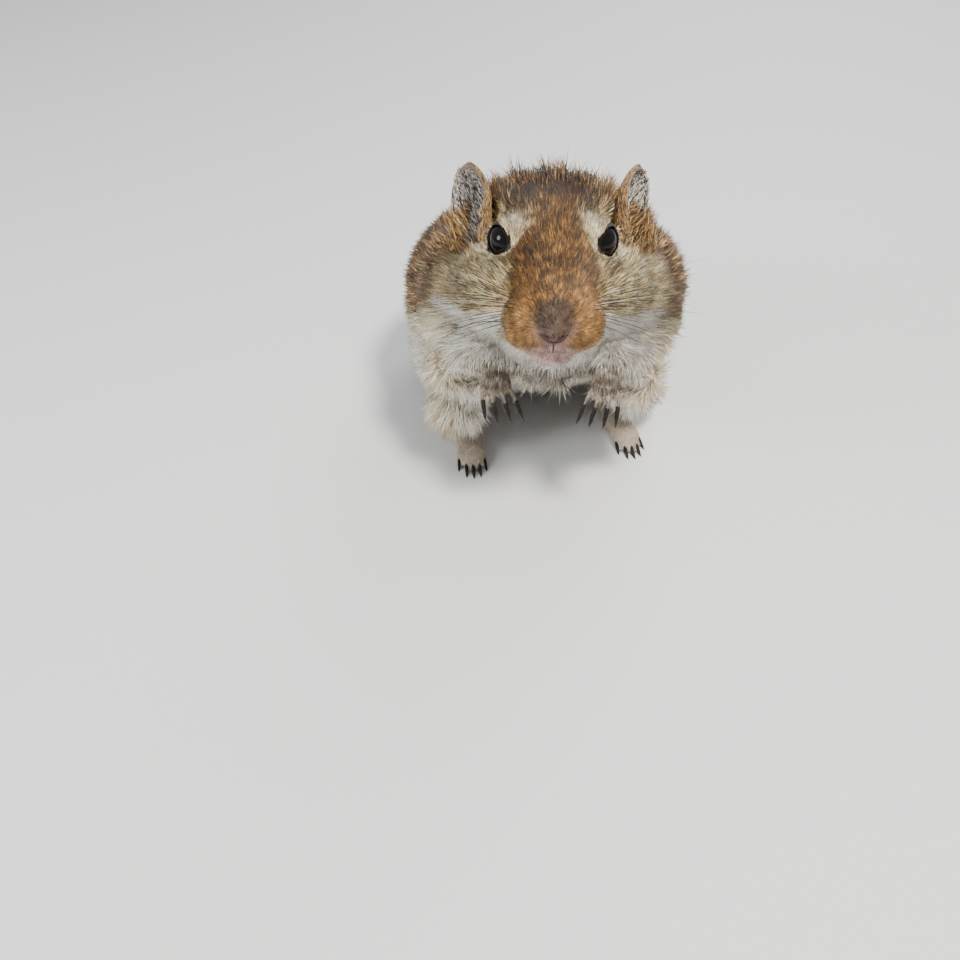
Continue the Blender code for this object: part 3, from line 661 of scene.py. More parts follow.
def head_markings(points, local, wobble, fine):
    """Colour and agouti share on the head: ochre bridge, orange pads, white jaw, pale marks by the eyes, and
    a dark spot behind each cheek, partly painted shade.
    """
    across, forward, height = head_axes(points)
    top = ease(-1.5, 3.0, height + 0.10 * forward - 0.20 * across + wobble * 0.4)
    top = np.maximum(top, ease(-9, -14, forward))
    crown = ease(3, -5, forward)
    head = mix(BEIGE, BROWN * CROWN_SHIFT * (1 - 0.46 * crown)[:, None], top)
    head_agouti = 0.46 + 0.52 * top
    cheek_brown = ease(12.5, 16.0, across + wobble * 0.5) * ease(1, -7, forward)
    head = mix(head, BROWN * 1.15, cheek_brown * 0.8)
    head_agouti = np.maximum(head_agouti, cheek_brown * 0.8)
    bridge = ease(7.6, 4.4, across - 0.14 * forward + fine * 0.5) * ease(-8, 2, forward)
    bridge *= ease(-12.5, -9.5, height)
    head = mix(head, OCHRE, bridge)
    head_agouti = head_agouti * (1 - bridge) + 0.9 * bridge
    pad = ease(8.8, 7.0, across + fine * 0.4) * ease(9.5, 12.5, forward)
    pad *= ease(-14.2, -12.2, height + fine * 0.5) * ease(0.5, -4.0, height)
    pad *= 1 - 0.6 * ease(5.0, 2.5, across) * ease(-7.5, -4.5, height)
    head = mix(head, ORANGE, pad * 0.92)
    head_agouti = head_agouti * (1 - pad) + 0.22 * pad
    border = -9.7 - 0.36 * (across - 10.8)
    jaw = ease(1.2, -1.2, height + wobble * 0.3 - border) * ease(7.4, 8.8, across + fine * 0.4)
    under = ease(-12.5, -14.2, height + fine * 0.4)
    jaw = np.maximum(jaw, under) * ease(19, 16, forward - 2.0 * under)
    head = mix(head, WHITE * 1.1, jaw)
    head_agouti = head_agouti * (1 - 0.93 * jaw)
    for side in SIDES:
        over = apart(local, (side * 6.3, -0.8, 3.5), (1, 1.4, 1))
        ring = apart(local, mirrored(EYE_OFFSET, side))
        below = apart(local, (side * 9.6, -3.4, -3.0), (1.2, 1.2, 1))
        behind = apart(local, (side * 12.6, 3.4, 0.6))
        pale = np.maximum(bump(over, 0, 2.05) * 0.97, bump(ring, 3.9, 0.9) * 0.7)
        pale = np.maximum(pale, bump(below, 0, 2.2) * 0.6)
        pale = np.clip(np.maximum(pale, bump(behind, 0, 2.9) * 0.7), 0, 1)
        head = mix(head, CREAM * 1.05, pale)
        head_agouti = head_agouti * (1 - 0.78 * pale)
        # A dark spot behind each cheek: partly dark agouti hair, partly painted shade in the fold between
        # cheek and shoulder
        patch = apart(local, (side * 15.4, 0.4, -2.0), (1, 1, 1.2))
        head = mix(head, DARK * 2.2, bump(patch, 0, 1.5) * 0.6)
        head = mix(head, BROWN * 0.85, ear_front(points, side) * 0.9)
    nose = ease(4.4, 2.6, apart(local, (0, -19.0, -6.2), (1, 1, 1.2)) + fine * 0.3)
    pinkish = ease(-5.5, -9.0, height + fine)
    head = mix(head, mix(NOSE_COLOUR, NOSE_PINK, pinkish), nose * 0.9)
    head_agouti = head_agouti * (1 - 0.5 * nose)
    chin = ease(4.6, 2.6, apart(local, (0, -17.6, -12.4), (1.2, 1.1, 0.7)))
    head = mix(head, PINK, chin * 0.8)
    head_agouti = head_agouti * (1 - chin)
    return head, head_agouti


def markings(points, normals):
    """Colour of the coat at its surface, and the share of agouti hair with dark tips, from 0 to 1."""
    local = to_head(points)
    wobble = (NOISE(points, 5.0) - 0.5) * 3.0
    fine = (NOISE(points + 40, 1.6) - 0.5) * 1.6

    light = light_below(points, wobble)
    light = light * (1 - ease(35, 42, points[:, 1]) * ease(-0.6, 0.0, normals[:, 2]))
    colour = mix(BROWN * BODY_SHIFT, CREAM, ease(0, 0.6, light))
    colour = mix(colour, WHITE * CHEST_SHIFT, ease(0.5, 1, light))
    agouti = 1 - 0.95 * light

    # Painted shade under the chin: the pale fur there is darkened where the head shadows it
    throat_shade = ease(1.3, 0.6, apart(points, (1.0, -18, 33), (11, 14, 9)))
    colour = mix(colour, THROAT_SHADE, throat_shade * light * 0.95)
    sides = light * ease(15, 21, np.abs(points[:, 0])) * ease(2, -6, points[:, 1])
    colour = mix(colour, BEIGE * 0.86, sides * 0.55)

    on_head = ease(1.18, 0.98, apart(local, (0, -2, -4), (21, 22, 16)))
    head, head_agouti = head_markings(points, local, wobble, fine)
    colour = mix(colour, head, on_head)
    agouti = agouti * (1 - on_head) + head_agouti * on_head

    tail = ease(52, 58, points[:, 1])
    upper = ease(-0.4, 0.5, normals[:, 2])
    shade = mix(CREAM * 0.72, BROWN * 0.95, upper)
    brush = np.zeros(len(points))
    brush[tail > 0] = ease(0.62, 0.90, tail_place(points[tail > 0]))
    shade = mix(shade, DARK * 2.6, brush * (0.55 + 0.40 * upper))
    colour = mix(colour, shade, tail)
    agouti = agouti * (1 - tail) + tail * (0.35 + 0.5 * upper)
    for paw in PAW_SPOTS:
        near = ease(6.5, 4.6, apart(points, paw + (0, -1.0, -1.0)))
        colour = mix(colour, PAW_COLOUR, near * 0.9)
        agouti = agouti * (1 - near) + 0.70 * near
    foot = on_foot(points, 4.6, 6.0)
    colour = mix(colour, FOOT_COLOUR, foot * 0.9)
    return colour, np.clip(agouti, 0, 1) * (1 - 0.6 * foot)


# The eyes' frames and lids


def eye_frame(side):
    """The eye's centre, its axis, and the directions to the front and up across it."""
    centre = HEAD @ mirrored(EYE_OFFSET, side)
    axis = (HEAD_TURN @ mirrored(EYE_AXIS, side)).normalized()
    up = HEAD_TURN @ Vector((0, 0, 1))
    up = (up - axis * up.dot(axis)).normalized()
    front = axis.cross(up) * side
    return centre, axis, front, up


def lid_opening(azimuth):
    """Half angle in degrees of the gap between the lids, a rounded triangle. 0 is the front, 90 the top."""
    half = LID_HALF
    for corner, reach, width in LID_CORNERS:
        half = half + reach * bump((azimuth - corner + 180) % 360, 180, width)
    return half


def beyond_lids(points, margin, front_margin=0):
    """1 for places outside both eyes' lids by the margins in degrees, 0 within."""
    clear = np.ones(len(points))
    for side in SIDES:
        centre, axis, front, up = (np.array(v) for v in eye_frame(side))
        out = points - centre
        reach = np.linalg.norm(out, axis=1)
        out = unit(out)
        polar = np.degrees(np.arccos(np.clip(out @ axis, -1, 1)))
        azimuth = np.degrees(np.arctan2(out @ up, out @ front))
        edge = lid_opening(azimuth) + margin + front_margin * bump(azimuth, 0, 60)
        clear *= ((polar > edge) | (reach > LID_REACH)).astype(float)
    return clear


# How thick, long and raised the hair is


def face_share(points):
    """1 on the face, falling to 0 behind the ears."""
    forward, height = head_axes(points)[1:]
    return ease(-15, -6, forward) * ease(-22, -16, height)


def paw_share(points):
    near = near_spots(points, [paw + (0, -1.5, -1.5) for paw in PAW_SPOTS], 6.6, 5.4)
    return np.maximum(near, on_foot(points, 4.6, 5.4, 32, 28))


def tail_share(points):
    return ease(50, 54, points[:, 1])


def off_soles(points, normals):
    return ((points[:, 2] > 0.9) | (normals[:, 2] > -0.5)).astype(float)


def beyond_nostrils(points):
    return (apart(to_head(points), (0, -20.0, -8.8), (3.0, 2.0, 0.75)) > 1).astype(float)


def near_forepaws(points):
    return near_spots(points, PAW_SPOTS, 13, 7)


def near_ears(points):
    """1 in the mouth of an ear and close round it."""
    return near_spots(points, EAR_SPOTS, 7.5, 4.5)


def near_eyes(points):
    return near_spots(points, EYE_SPOTS, 7, 4)


def face_density(points, normals):
    clear = beyond_lids(points, FUR_MARGIN, FRONT_MARGIN) * beyond_nostrils(points)
    return FACE_HAIRS * face_share(points) * (clear * (1 - paw_share(points)))


def head_length(points):
    forward, height = head_axes(points)[1:]
    length = 3.0 - 0.9 * ease(-8, 8, forward) - 0.9 * ease(8, 18, forward)
    jaw = ease(-8, -13, height) * ease(12, 2, forward)
    length = (length + 1.2 * jaw) * (1 - 0.45 * near_eyes(points))
    length = length * (1 - 0.55 * near_ears(points))
    return length + 1.5 * sum(ear_front(points, side) for side in SIDES)


def face_width(points):
    return 0.15 + 0.025 * ease(4, -12, head_axes(points)[1])


def head_lift(points):
    lift = (0.40 - 0.12 * ease(0, 14, head_axes(points)[1])) * (1 - 0.4 * near_ears(points))
    lift = lift + 0.55 * sum(ear_front(points, side) for side in SIDES)
    return lift + 0.30 * near_forepaws(points)


def body_density(points, normals):
    rest = (1 - face_share(points)) * (1 - paw_share(points)) * (1 - tail_share(points))
    return BODY_HAIRS * rest * off_soles(points, normals)


def body_length(points):
    length = 5.8 - 1.4 * ease(16, 4, points[:, 2])
    return length * (1 - 0.56 * near_forepaws(points)) * (1 - 0.45 * near_ears(points))


def body_lift(points):
    return 0.38 - 0.08 * light_below(points, 0) + 0.12 * near_forepaws(points)


def streak_density(points, normals):
    across, forward, height = head_axes(points)
    cheek = ease(7.0, 9.0, across) * ease(13, 9, forward) * ease(-12, -8, forward)
    cheek *= ease(-10.5, -7.0, height + 0.42 * (across - 10.8)) * ease(3, -1, height)
    clear = beyond_lids(points, 12) * (1 - near_ears(points))
    return STREAKS * cheek * clear * face_share(points)


def guard_density(points, normals):
    forward, height = head_axes(points)[1:]
    face = face_share(points)
    head = ease(0, 3, height) * ease(8, 0, forward) * face
    back = (1 - light_below(points, 0)) * (1 - face) * (1 - tail_share(points))
    return GUARD_HAIRS * np.maximum(head, back) * (1 - near_ears(points)) * (1 - near_eyes(points))


def guard_length(points):
    return 5.6 - 2.0 * face_share(points)


def guard_lift(points):
    return 0.50 + 0.02 * face_share(points)


def paw_density(points, normals):
    return PAW_HAIRS * paw_share(points) * (points[:, 2] > 0.7)


def paw_length(points):
    return 0.85 + 0.9 * near_spots(points, [paw + (0, 1.2, 1.4) for paw in PAW_SPOTS], 4.6, 2.6)


def tail_density(points, normals):
    return TAIL_HAIRS * tail_share(points) * off_soles(points, normals)


def tail_length(points):
    return 3.0 + 4.6 * ease(0.60, 0.92, tail_place(points))


def tail_lift(points):
    return 0.26 + 0.16 * ease(0.60, 0.92, tail_place(points))


# Coat


def lie_of_hair(points, normals):
    """Unit vectors along the skin for the hair: back from the nose, along the body, down the chest."""
    forward, height = head_axes(points)[1:]
    radial = to_head(points) - np.array((0, -23.0, -6.5))
    radial[:, 2] *= 0.9
    radial = from_head(radial)
    body = np.zeros_like(points)
    body[:, 1] = 1.0
    body[:, 2] = -0.45 - 0.5 * ease(20, 40, points[:, 1])
    body[:, 0] = -0.26 * ease(4, 16, points[:, 1])
    chest = ease(0.15, -0.6, normals[:, 1]) * ease(42, 35, points[:, 2])
    chest *= ease(6, -4, points[:, 1])
    body = mix(body, np.array((0.0, 0.25, -1.0)), chest)
    on_head = ease(-20, -10, forward) * ease(-25, -16, height)
    flow = mix(unit(body), unit(radial), on_head)
    for paw in PAW_SPOTS:
        flow = mix(flow, np.array((0.0, -0.75, -0.7)), ease(12, 5, apart(points, paw)))
    foot = on_foot(points, 4.6, 7, 33, 28)
    flow = mix(flow, np.array(REAR.to_3x3() @ Vector((0, -1, -0.1))), foot)
    tail = points[:, 1] > 50
    if tail.any():
        path = np.array(TAIL_PATH)
        lies = unit(np.gradient(path, axis=0))
        nearest = np.argmin(((points[tail][:, None] - path[None]) ** 2).sum(2), axis=1)
        share = ease(50, 55, points[tail][:, 1])
        flow[tail] = mix(flow[tail], lies[nearest], share)
    flow = unit(flow) + 0.16 * (np.stack([NOISE(points + seed, 4.0) for seed in (11, 23, 37)], 1) - 0.5)
    for side, eye in zip(SIDES, EYE_SPOTS):
        flow = mix(flow, np.array(HEAD_TURN @ mirrored((0.30, 0.45, 0.85), side)), ear_front(points, side))
        away = points - eye
        near = ease(8.0, 4.2, np.linalg.norm(away, axis=1))
        away = unit(away)
        toward = np.minimum((unit(flow) * away).sum(1) - 0.30, 0)
        flow = flow - away * (toward * near)[:, None]
    flow -= normals * (flow * normals).sum(1, keepdims=True)
    return unit(flow)


def sample_skin(skin, density, pieces, seed):
    """Roots on the skin, as many to the square millimetre as density says, with normals and map places."""
    mesh = skin.data
    mesh.calc_loop_triangles()
    count = len(mesh.loop_triangles)
    corners = read(mesh.loop_triangles, "vertices", 3, np.int32)
    loops = read(mesh.loop_triangles, "loops", 3, np.int32)
    unwrap = read(mesh.uv_layers["OFBake"].data, "uv", 2).astype(float)
    points = own_points(mesh)
    normals = normals_of(mesh)
    a, b, c = (points[corners[:, k]] for k in range(3))
    areas = np.linalg.norm(np.cross(b - a, c - a), axis=1) / 2
    middle = (a + b + c) / 3
    wanted = areas * density(middle, unit(np.cross(b - a, c - a))) / pieces
    draw = np.random.default_rng(seed)
    numbers = np.floor(wanted + draw.random(count)).astype(int)
    chosen = np.repeat(np.arange(count), numbers)
    first, second = draw.random(len(chosen)), draw.random(len(chosen))
    over = first + second > 1
    first[over], second[over] = 1 - first[over], 1 - second[over]
    weights = np.stack([1 - first - second, first, second], 1)
    place = np.einsum("ij,ijk->ik", weights, points[corners[chosen]])
    lean = unit(np.einsum("ij,ijk->ik", weights, normals[corners[chosen]]))
    spot = np.einsum("ij,ijk->ik", weights, unwrap[loops[chosen]])
    return place, lean, spot, draw


def finish_piece(piece, material, slot, *replaced):
    piece.data.materials.append(material)
    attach(piece, "root")
    if replaced:
        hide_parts(*replaced)


def tuft_object(name, lines, widths, flatness, sideways, colours, spots, slot, material):
    """Closed tufts along lines of 2 or 3 points: a spike with 3 corners, or a spindle with them halfway.

    Each has its own colours and a small patch of the map.
    """
    tufts, steps = lines.shape[:2]
    ring = steps - 2
    flats = widths * flatness
    along = unit(lines[:, ring + 1] - lines[:, ring])
    across = unit(sideways - along * (sideways * along).sum(1, keepdims=True))
    rise = np.cross(along, across)
    points = np.empty((tufts, steps + 2, 3))
    tints = np.empty((tufts, steps + 2, 3))
    patch = np.empty((tufts, steps + 2, 2))
    for corner, (flat, high) in enumerate(TUFT_CORNERS):
        offset = across * (flat * widths[:, None] / 2) + rise * (high * flats[:, None] / 2)
        points[:, corner] = lines[:, ring] + offset
        tints[:, corner] = colours[:, ring]
        patch[:, corner] = spots + PATCH_HALF * np.array((flat * 0.93, ring - 1))
    for corner, step, way in ((3, -1, 1), (4, 0, -1))[: ring + 1]:
        points[:, corner] = lines[:, step]
        tints[:, corner] = colours[:, step]
        patch[:, corner] = spots + (0, way * PATCH_HALF)
    faces = np.array(SPINDLE if ring else SPIKE)
    corners = (faces + (np.arange(tufts) * (steps + 2))[:, None, None]).reshape(-1)
    mesh = bpy.data.meshes.new(name)
    mesh.vertices.add(tufts * (steps + 2))
    mesh.loops.add(len(corners))
    mesh.polygons.add(len(corners) // 3)
    mesh.loops.foreach_set("vertex_index", corners.astype(np.int32))
    mesh.polygons.foreach_set("loop_start", np.arange(0, len(corners), 3, dtype=np.int32))
    placed = (points.reshape(-1, 3) + np.array(SHIFT)) * MM
    mesh.vertices.foreach_set("co", placed.astype(np.float32).ravel())
    mesh.update(calc_edges=True)
    mesh.shade_smooth()
    layer = mesh.uv_layers.new(name="OFBake")
    layer.data.foreach_set("uv", patch.reshape(-1, 2)[corners].astype(np.float32).ravel())
    store_colours(mesh, tints.reshape(-1, 3))
    finish_piece(add_object(name, mesh), material, slot)


def hair_colours(points, normals, steps, draw, darkness):
    """Colours from root to tip: grey at the root, the marking's colour, and a dark tip on agouti hair."""
    colour, agouti = markings(points, normals)
    count = len(points)
    spread = 0.33 + 0.26 * agouti
    locks = (NOISE(points + 60, 0.8) - 0.5) * (1.3 + 1.2 * agouti)
    brightness = np.exp(draw.normal(0, 1, count) * spread + locks)[:, None] * HAIR_BRIGHTNESS
    warmth = 1 + 0.10 * (draw.random((count, 3)) - 0.5)
    colour = colour * brightness * warmth
    root = mix(colour * 0.6, GREY * 0.55, 0.2 + 0.15 * agouti)
    dark_tip = (draw.random(count) < agouti * darkness) * (0.6 + 0.4 * draw.random(count))
    all_dark = draw.random(count) < agouti * darkness * 0.36
    tints = np.empty((count, steps, 3))
    for step in range(steps):
        share = np.full(count, step / (steps - 1))
        value = mix(root, colour, ease(0.0, 0.45, share))
        value = mix(value, DARK * 1.5, dark_tip * ease(0.35, 0.95, share))
        tints[:, step] = mix(value, DARK * 1.6, all_dark * 0.9)
    return np.clip(tints, 0.002, 1)


def varied(measure, points, draw, least, more):
    """A function of the points, or a plain number, times a random factor from least to least plus more."""
    return (measure(points) if callable(measure) else measure) * (least + more * draw.random(len(points)))


def grow_coat(skin, material, kind):
    """The pieces of one kind of hair on the skin."""
    steps = kind.steps
    for part in range(kind.pieces):
        points, normals, spots, draw = sample_skin(skin, kind.density, kind.pieces, kind.seed + part)
        flow = lie_of_hair(points, normals)
        stray = draw.normal(0, STRAY, len(points))[:, None]
        stray = stray + (NOISE(points + 90, SWIRL_SIZE) - 0.5)[:, None] * kind.clump
        flow = unit(flow + np.cross(normals, flow) * stray)
        lengths = varied(kind.length, points, draw, 0.75, 0.45)
        widths = varied(kind.width, points, draw, 0.8, 0.4)
        lifts = varied(kind.lift, points, draw, 0.75, 0.5)
        line = np.empty((len(points), steps, 3))
        line[:, 0] = points - normals * ROOT_DEPTH
        reach = line[:, 0]
        for step in range(1, steps):
            angle = (lifts * (1.35 - 0.9 * (step - 0.5) / (steps - 1)))[:, None]
            way = flow * np.cos(angle) + normals * np.sin(angle)
            reach = reach + way * (lengths / (steps - 1))[:, None]
            line[:, step] = reach
        line[:, :, 2] = np.maximum(line[:, :, 2], HAIR_GROUND)
        if steps == 3:
            widths = widths * SPINDLE_WIDTH
        colours = hair_colours(points, normals, steps, draw, kind.darkness)
        name = kind.name if kind.pieces == 1 else f"{kind.name}_{part + 1}"
        sideways = unit(np.cross(normals, flow))
        tuft_object(name, line, widths, 0.5, sideways, colours, spots, kind.slot, material)


# Materials


def new_material(name, colour, roughness, specular=0.5):
    made = bpy.data.materials.new(name)
    made.use_nodes = True
    shader = made.node_tree.nodes["Principled BSDF"]
    shader.inputs["Base Color"].default_value = (*colour, 1)
    shader.inputs["Roughness"].default_value = roughness
    shader.inputs["Specular IOR Level"].default_value = specular
    return made, shader


def add_noise(made, size, detail):
    """Noise that stays with the object."""
    nodes = made.node_tree.nodes
    noise = nodes.new("ShaderNodeTexNoise")
    noise.inputs["Scale"].default_value = size
    noise.inputs["Detail"].default_value = detail
    coordinates = nodes.new("ShaderNodeTexCoord")
    made.node_tree.links.new(coordinates.outputs["Object"], noise.inputs["Vector"])
    return noise.outputs["Fac"]


def add_relief(made, shader, height, strength, depth):
    relief = made.node_tree.nodes.new("ShaderNodeBump")
    relief.inputs["Strength"].default_value = strength
    relief.inputs["Distance"].default_value = depth
    made.node_tree.links.new(height, relief.inputs["Height"])
    made.node_tree.links.new(relief.outputs["Normal"], shader.inputs["Normal"])


def coat_material(name, roughness, specular, size, detail, darkest, lightest, relief=0.0):
    """The coat's own colours, broken up by fine noise from darkest to lightest."""
    made, shader = new_material(name, (0.5, 0.5, 0.5), roughness, specular)
    nodes, links = made.node_tree.nodes, made.node_tree.links
    tint = nodes.new("ShaderNodeVertexColor")
    tint.layer_name = "Coat"
    noise = add_noise(made, size, detail)
    shade = nodes.new("ShaderNodeMapRange")
    shade.inputs["To Min"].default_value = darkest
    shade.inputs["To Max"].default_value = lightest
    links.new(noise, shade.inputs["Value"])
    scale = nodes.new("ShaderNodeVectorMath")
    scale.operation = "SCALE"
    links.new(tint.outputs["Color"], scale.inputs[0])
    links.new(shade.outputs["Result"], scale.inputs["Scale"])
    links.new(scale.outputs["Vector"], shader.inputs["Base Color"])
    if relief:
        add_relief(made, shader, noise, 0.5, relief)
    return made


def two_tone(name, colour, other, size, roughness, relief=0.0, specular=0.5, detail=4, ends=(0.35, 0.65)):
    """Two close colours broken up by noise, with fine relief where its depth is given."""
    made, shader = new_material(name, colour, roughness, specular)
    noise = add_noise(made, size, detail)
    ramp = made.node_tree.nodes.new("ShaderNodeValToRGB")
    for stop, tone, end in zip(ramp.color_ramp.elements, (colour, other), ends):
        stop.color = (*tone, 1)
        stop.position = end
    made.node_tree.links.new(noise, ramp.inputs["Fac"])
    made.node_tree.links.new(ramp.outputs["Color"], shader.inputs["Base Color"])
    if relief:
        add_relief(made, shader, noise, 0.6, relief)
    return made


# Pieces


def unwrap_skin(skin):
    """An unwrap of the skin's own shape, in the map that the coat's patches share."""
    bpy.ops.object.select_all(action="DESELECT")
    skin.select_set(True)
    bpy.context.view_layer.objects.active = skin
    skin.data.uv_layers.new(name="OFBake")
    bpy.ops.object.mode_set(mode="EDIT")
    bpy.ops.mesh.select_all(action="SELECT")
    bpy.ops.uv.smart_project(angle_limit=math.radians(66), island_margin=0.004)
    bpy.ops.object.mode_set(mode="OBJECT")


def paint_skin(skin):
    mesh = skin.data
    points = own_points(mesh)
    normals = normals_of(mesh)
    colour, agouti = markings(points, normals)
    # The skin is painted darker than the coat and greyer where it is agouti: partly the slate-grey underfur,
    # partly painted shade in the gaps between the tufts
    colour = mix(colour * 0.8, GREY * 0.4, 0.25 * agouti)
    colour = mix(colour, DARK, 1 - beyond_lids(points, LID_RIM))
    across, forward, height = head_axes(points)
    # Painted shade: a dark line along the lips stands in for the crease of the closed mouth
    mouth = bump(height + 0.02 * across**2, -11.9, 0.28)
    mouth *= ease(6, 4, across) * ease(9, 12, forward)
    store_colours(mesh, np.clip(mix(colour, MOUTH_SHADE, mouth), 0, 1))


def eye_piece(side, material):
    centre, axis = eye_frame(side)[:2]
    name = f"eye_{SIDE_NAMES[side]}"
    ball = ellipsoid_shape(centre, (EYE_RADIUS,) * 3, axis.to_track_quat("Z", "Y").to_matrix(), 64, 40)
    finish_piece(mesh_object(f"{name}_ball", *ball), material, "eye", name)


def lid_piece(side, material):
    """Both lids as one ring round the ball: a rounded rim along the opening, running out under the fur."""
    centre, axis, front, up = eye_frame(side)
    points = []
    for rise, outward in LID_PROFILE:
        for column in range(LID_COLUMNS):
            angle = 2 * math.pi * column / LID_COLUMNS
            tilt = math.radians(float(lid_opening(math.degrees(angle))) + outward)
            spot = axis * math.cos(tilt) + (front * math.cos(angle) + up * math.sin(angle)) * math.sin(tilt)
            points.append(centre + spot * (EYE_RADIUS + rise))
    lid = mesh_object(f"lids_{SIDE_NAMES[side]}", points, ring_faces(len(LID_PROFILE), LID_COLUMNS))
    thicken(lid, 0.12)
    settle(lid)
    finish_piece(lid, material, "paw")


def ear_sheet(side):
    """The ear's root, the way it rises, the way its cup faces, and the way across it towards the back rim."""
    root = HEAD @ mirrored(EAR_ROOT, side)
    along = (HEAD_TURN @ mirrored(EAR_TIP - EAR_ROOT, side)).normalized()
    facing = (HEAD_TURN @ mirrored(EAR_FACING[side], side)).normalized()
    facing = (facing - along * facing.dot(along)).normalized()
    across = along.cross(facing).normalized() * side
    return root, along, facing, across


def ear_point(side, share, turn_share):
    """A point of the ear: share from root to tip, turn_share from -1 at the front rim to 1 at the back."""
    root, along, facing, across = ear_sheet(side)
    length = (EAR_TIP - EAR_ROOT).length
    width = 4.7 * (0.74 + 0.26 * math.sin(math.pi * min(1, max(0, share) * 0.8 + 0.15)))
    if share > 0.60:
        fall = (share - 0.60) / 0.40
        width *= math.sqrt(max(0.0, 1 - fall**3.2))
    wrap = math.radians(112 - 26 * max(0, share))
    bend = wrap * turn_share
    cup = 0.66 * (1 - 0.30 * max(0, share))
    flare = 0.5 * bump(share, 0.25, 0.25) * max(0, turn_share)
    flare -= 0.44 * bump(share, 0.55, 0.25) * max(0, -turn_share)
    sideways = across * float(width * (math.sin(bend) + flare))
    return root + along * (length * share) + sideways - facing * (width * cup * math.cos(bend) - 0.9)


def ear_piece(side, material):
    shares = [-0.18 + 1.18 * (row / (EAR_ROWS - 1)) ** 0.92 for row in range(EAR_ROWS)]
    turns = [-1 + 2 * column / (EAR_COLUMNS - 1) for column in range(EAR_COLUMNS)]
    points = [ear_point(side, share, turn_share) for share in shares for turn_share in turns]
    faces = ring_faces(EAR_ROWS, EAR_COLUMNS, closed=False)
    ear = mesh_object(f"ear_{SIDE_NAMES[side]}_shell", points, faces)
    bm = bmesh.new()
    bm.from_mesh(ear.data)
    bmesh.ops.remove_doubles(bm, verts=bm.verts, dist=2e-5)
    bm.to_mesh(ear.data)
    bm.free()
    thicken(ear, 0.55)
    round_off = ear.modifiers.new("round", "SUBSURF")
    round_off.levels = 1
    round_off.render_levels = 1
    settle(ear)
    ear.data.shade_smooth()
    finish_piece(ear, material, "ear", f"ear_{SIDE_NAMES[side]}")


def ear_hair(side, material, seed):
    """Short hair on both faces of the ear, pale and streaked inside and ochre outside."""
    draw = np.random.default_rng(seed)
    count = EAR_HAIRS
    shares = -0.14 + 1.118 * draw.random(count) ** 0.74
    turns = np.sin(math.pi / 2 * (-1 + 2 * draw.random(count)))
    inner = draw.random(count) < 0.5
    along = ear_sheet(side)[1]
    lines = np.empty((count, 3, 3))
    sideways = np.empty((count, 3))
    tints = np.empty((count, 3, 3))
    widths = np.empty(count)
    for index in range(count):
        share, turn_share, inside = shares[index], turns[index], inner[index]
        here = ear_point(side, share, turn_share)
        ahead = ear_point(side, share + 0.04, turn_share) if share < 0.95 else here + along * 0.5
        beside = ear_point(side, share, turn_share + 0.04) - ear_point(side, share, turn_share - 0.04)
        lie = (ahead - here).normalized()
        normal = lie.cross(beside).normalized() * -side
        if not inside:
            normal = -normal
        length = (2.6 if inside else 1.9) * (0.7 + 0.6 * draw.random()) * (1 - 0.56 * max(0, share))
        length *= 1 - 0.55 * float(ease(0.86, 0.98, share))
        lean = 0.10 + 0.16 * draw.random() + 0.08 * max(0, share)
        drift = float(draw.normal(0, 0.14)) + (0.45 if inside else 0.0)
        way = (lie + beside.normalized() * drift).normalized()
        foot = here + normal * (0.18 + 0.10 * max(0, share))
        middle = foot + (way * math.cos(lean) + normal * math.sin(lean)) * length * 0.5
        lines[index] = foot, middle, middle + (way + normal * 0.04).normalized() * length * 0.5
        sideways[index] = normal.cross(way)
        shade = math.exp(draw.normal(0, 0.25))
        if inside:
            colour = mix(EAR_PALE, BROWN * 1.1, ease(-0.35, -0.75, turn_share)) * shade
            colour = mix(colour, BROWN, ease(0.10, -0.04, share))
        else:
            colour = mix(BROWN * 1.1, EAR_OCHRE, 0.5 - 0.5 * turn_share) * shade
        if draw.random() < (0.46 if inside else 0.34):
            colour = DARK * 3
        tints[index] = colour
        tints[index, 2] = colour * 0.85
        widths[index] = 0.13 * (0.8 + 0.4 * draw.random())
    spots = np.stack([0.01 + 0.08 * (turns + 1) / 2, 0.01 + 0.08 * shares], 1)
    name = f"ear_{SIDE_NAMES[side]}_hair"
    tuft_object(name, lines, widths, 0.6, sideways, tints, spots, "ear", material)


def claw_piece(name, shapes, material):
    points, faces = joined([claw for finger, claw in shapes])
    claws = mesh_object(name, [Vector((p.x, p.y, max(p.z, GROUND))) for p in points], faces)
    finish_piece(claws, material, "paw")


def whisker_piece(name, specs, material):
    parts = []
    for root, way, droop, length, radius in specs:
        knots = []
        point = Vector(root)
        heading = Vector(way).normalized()
        for step in range(WHISKER_STEPS + 1):
            knots.append(point.copy())
            point += heading * (length / WHISKER_STEPS)
            heading = (heading + Vector(droop) / WHISKER_STEPS).normalized()
        parts.append(tube_mesh(knots, radii_along(knots, (radius, radius * 0.14)), count=5, cap=0.5))
    finish_piece(mesh_object(name, *joined(parts)), material, "coat_face")


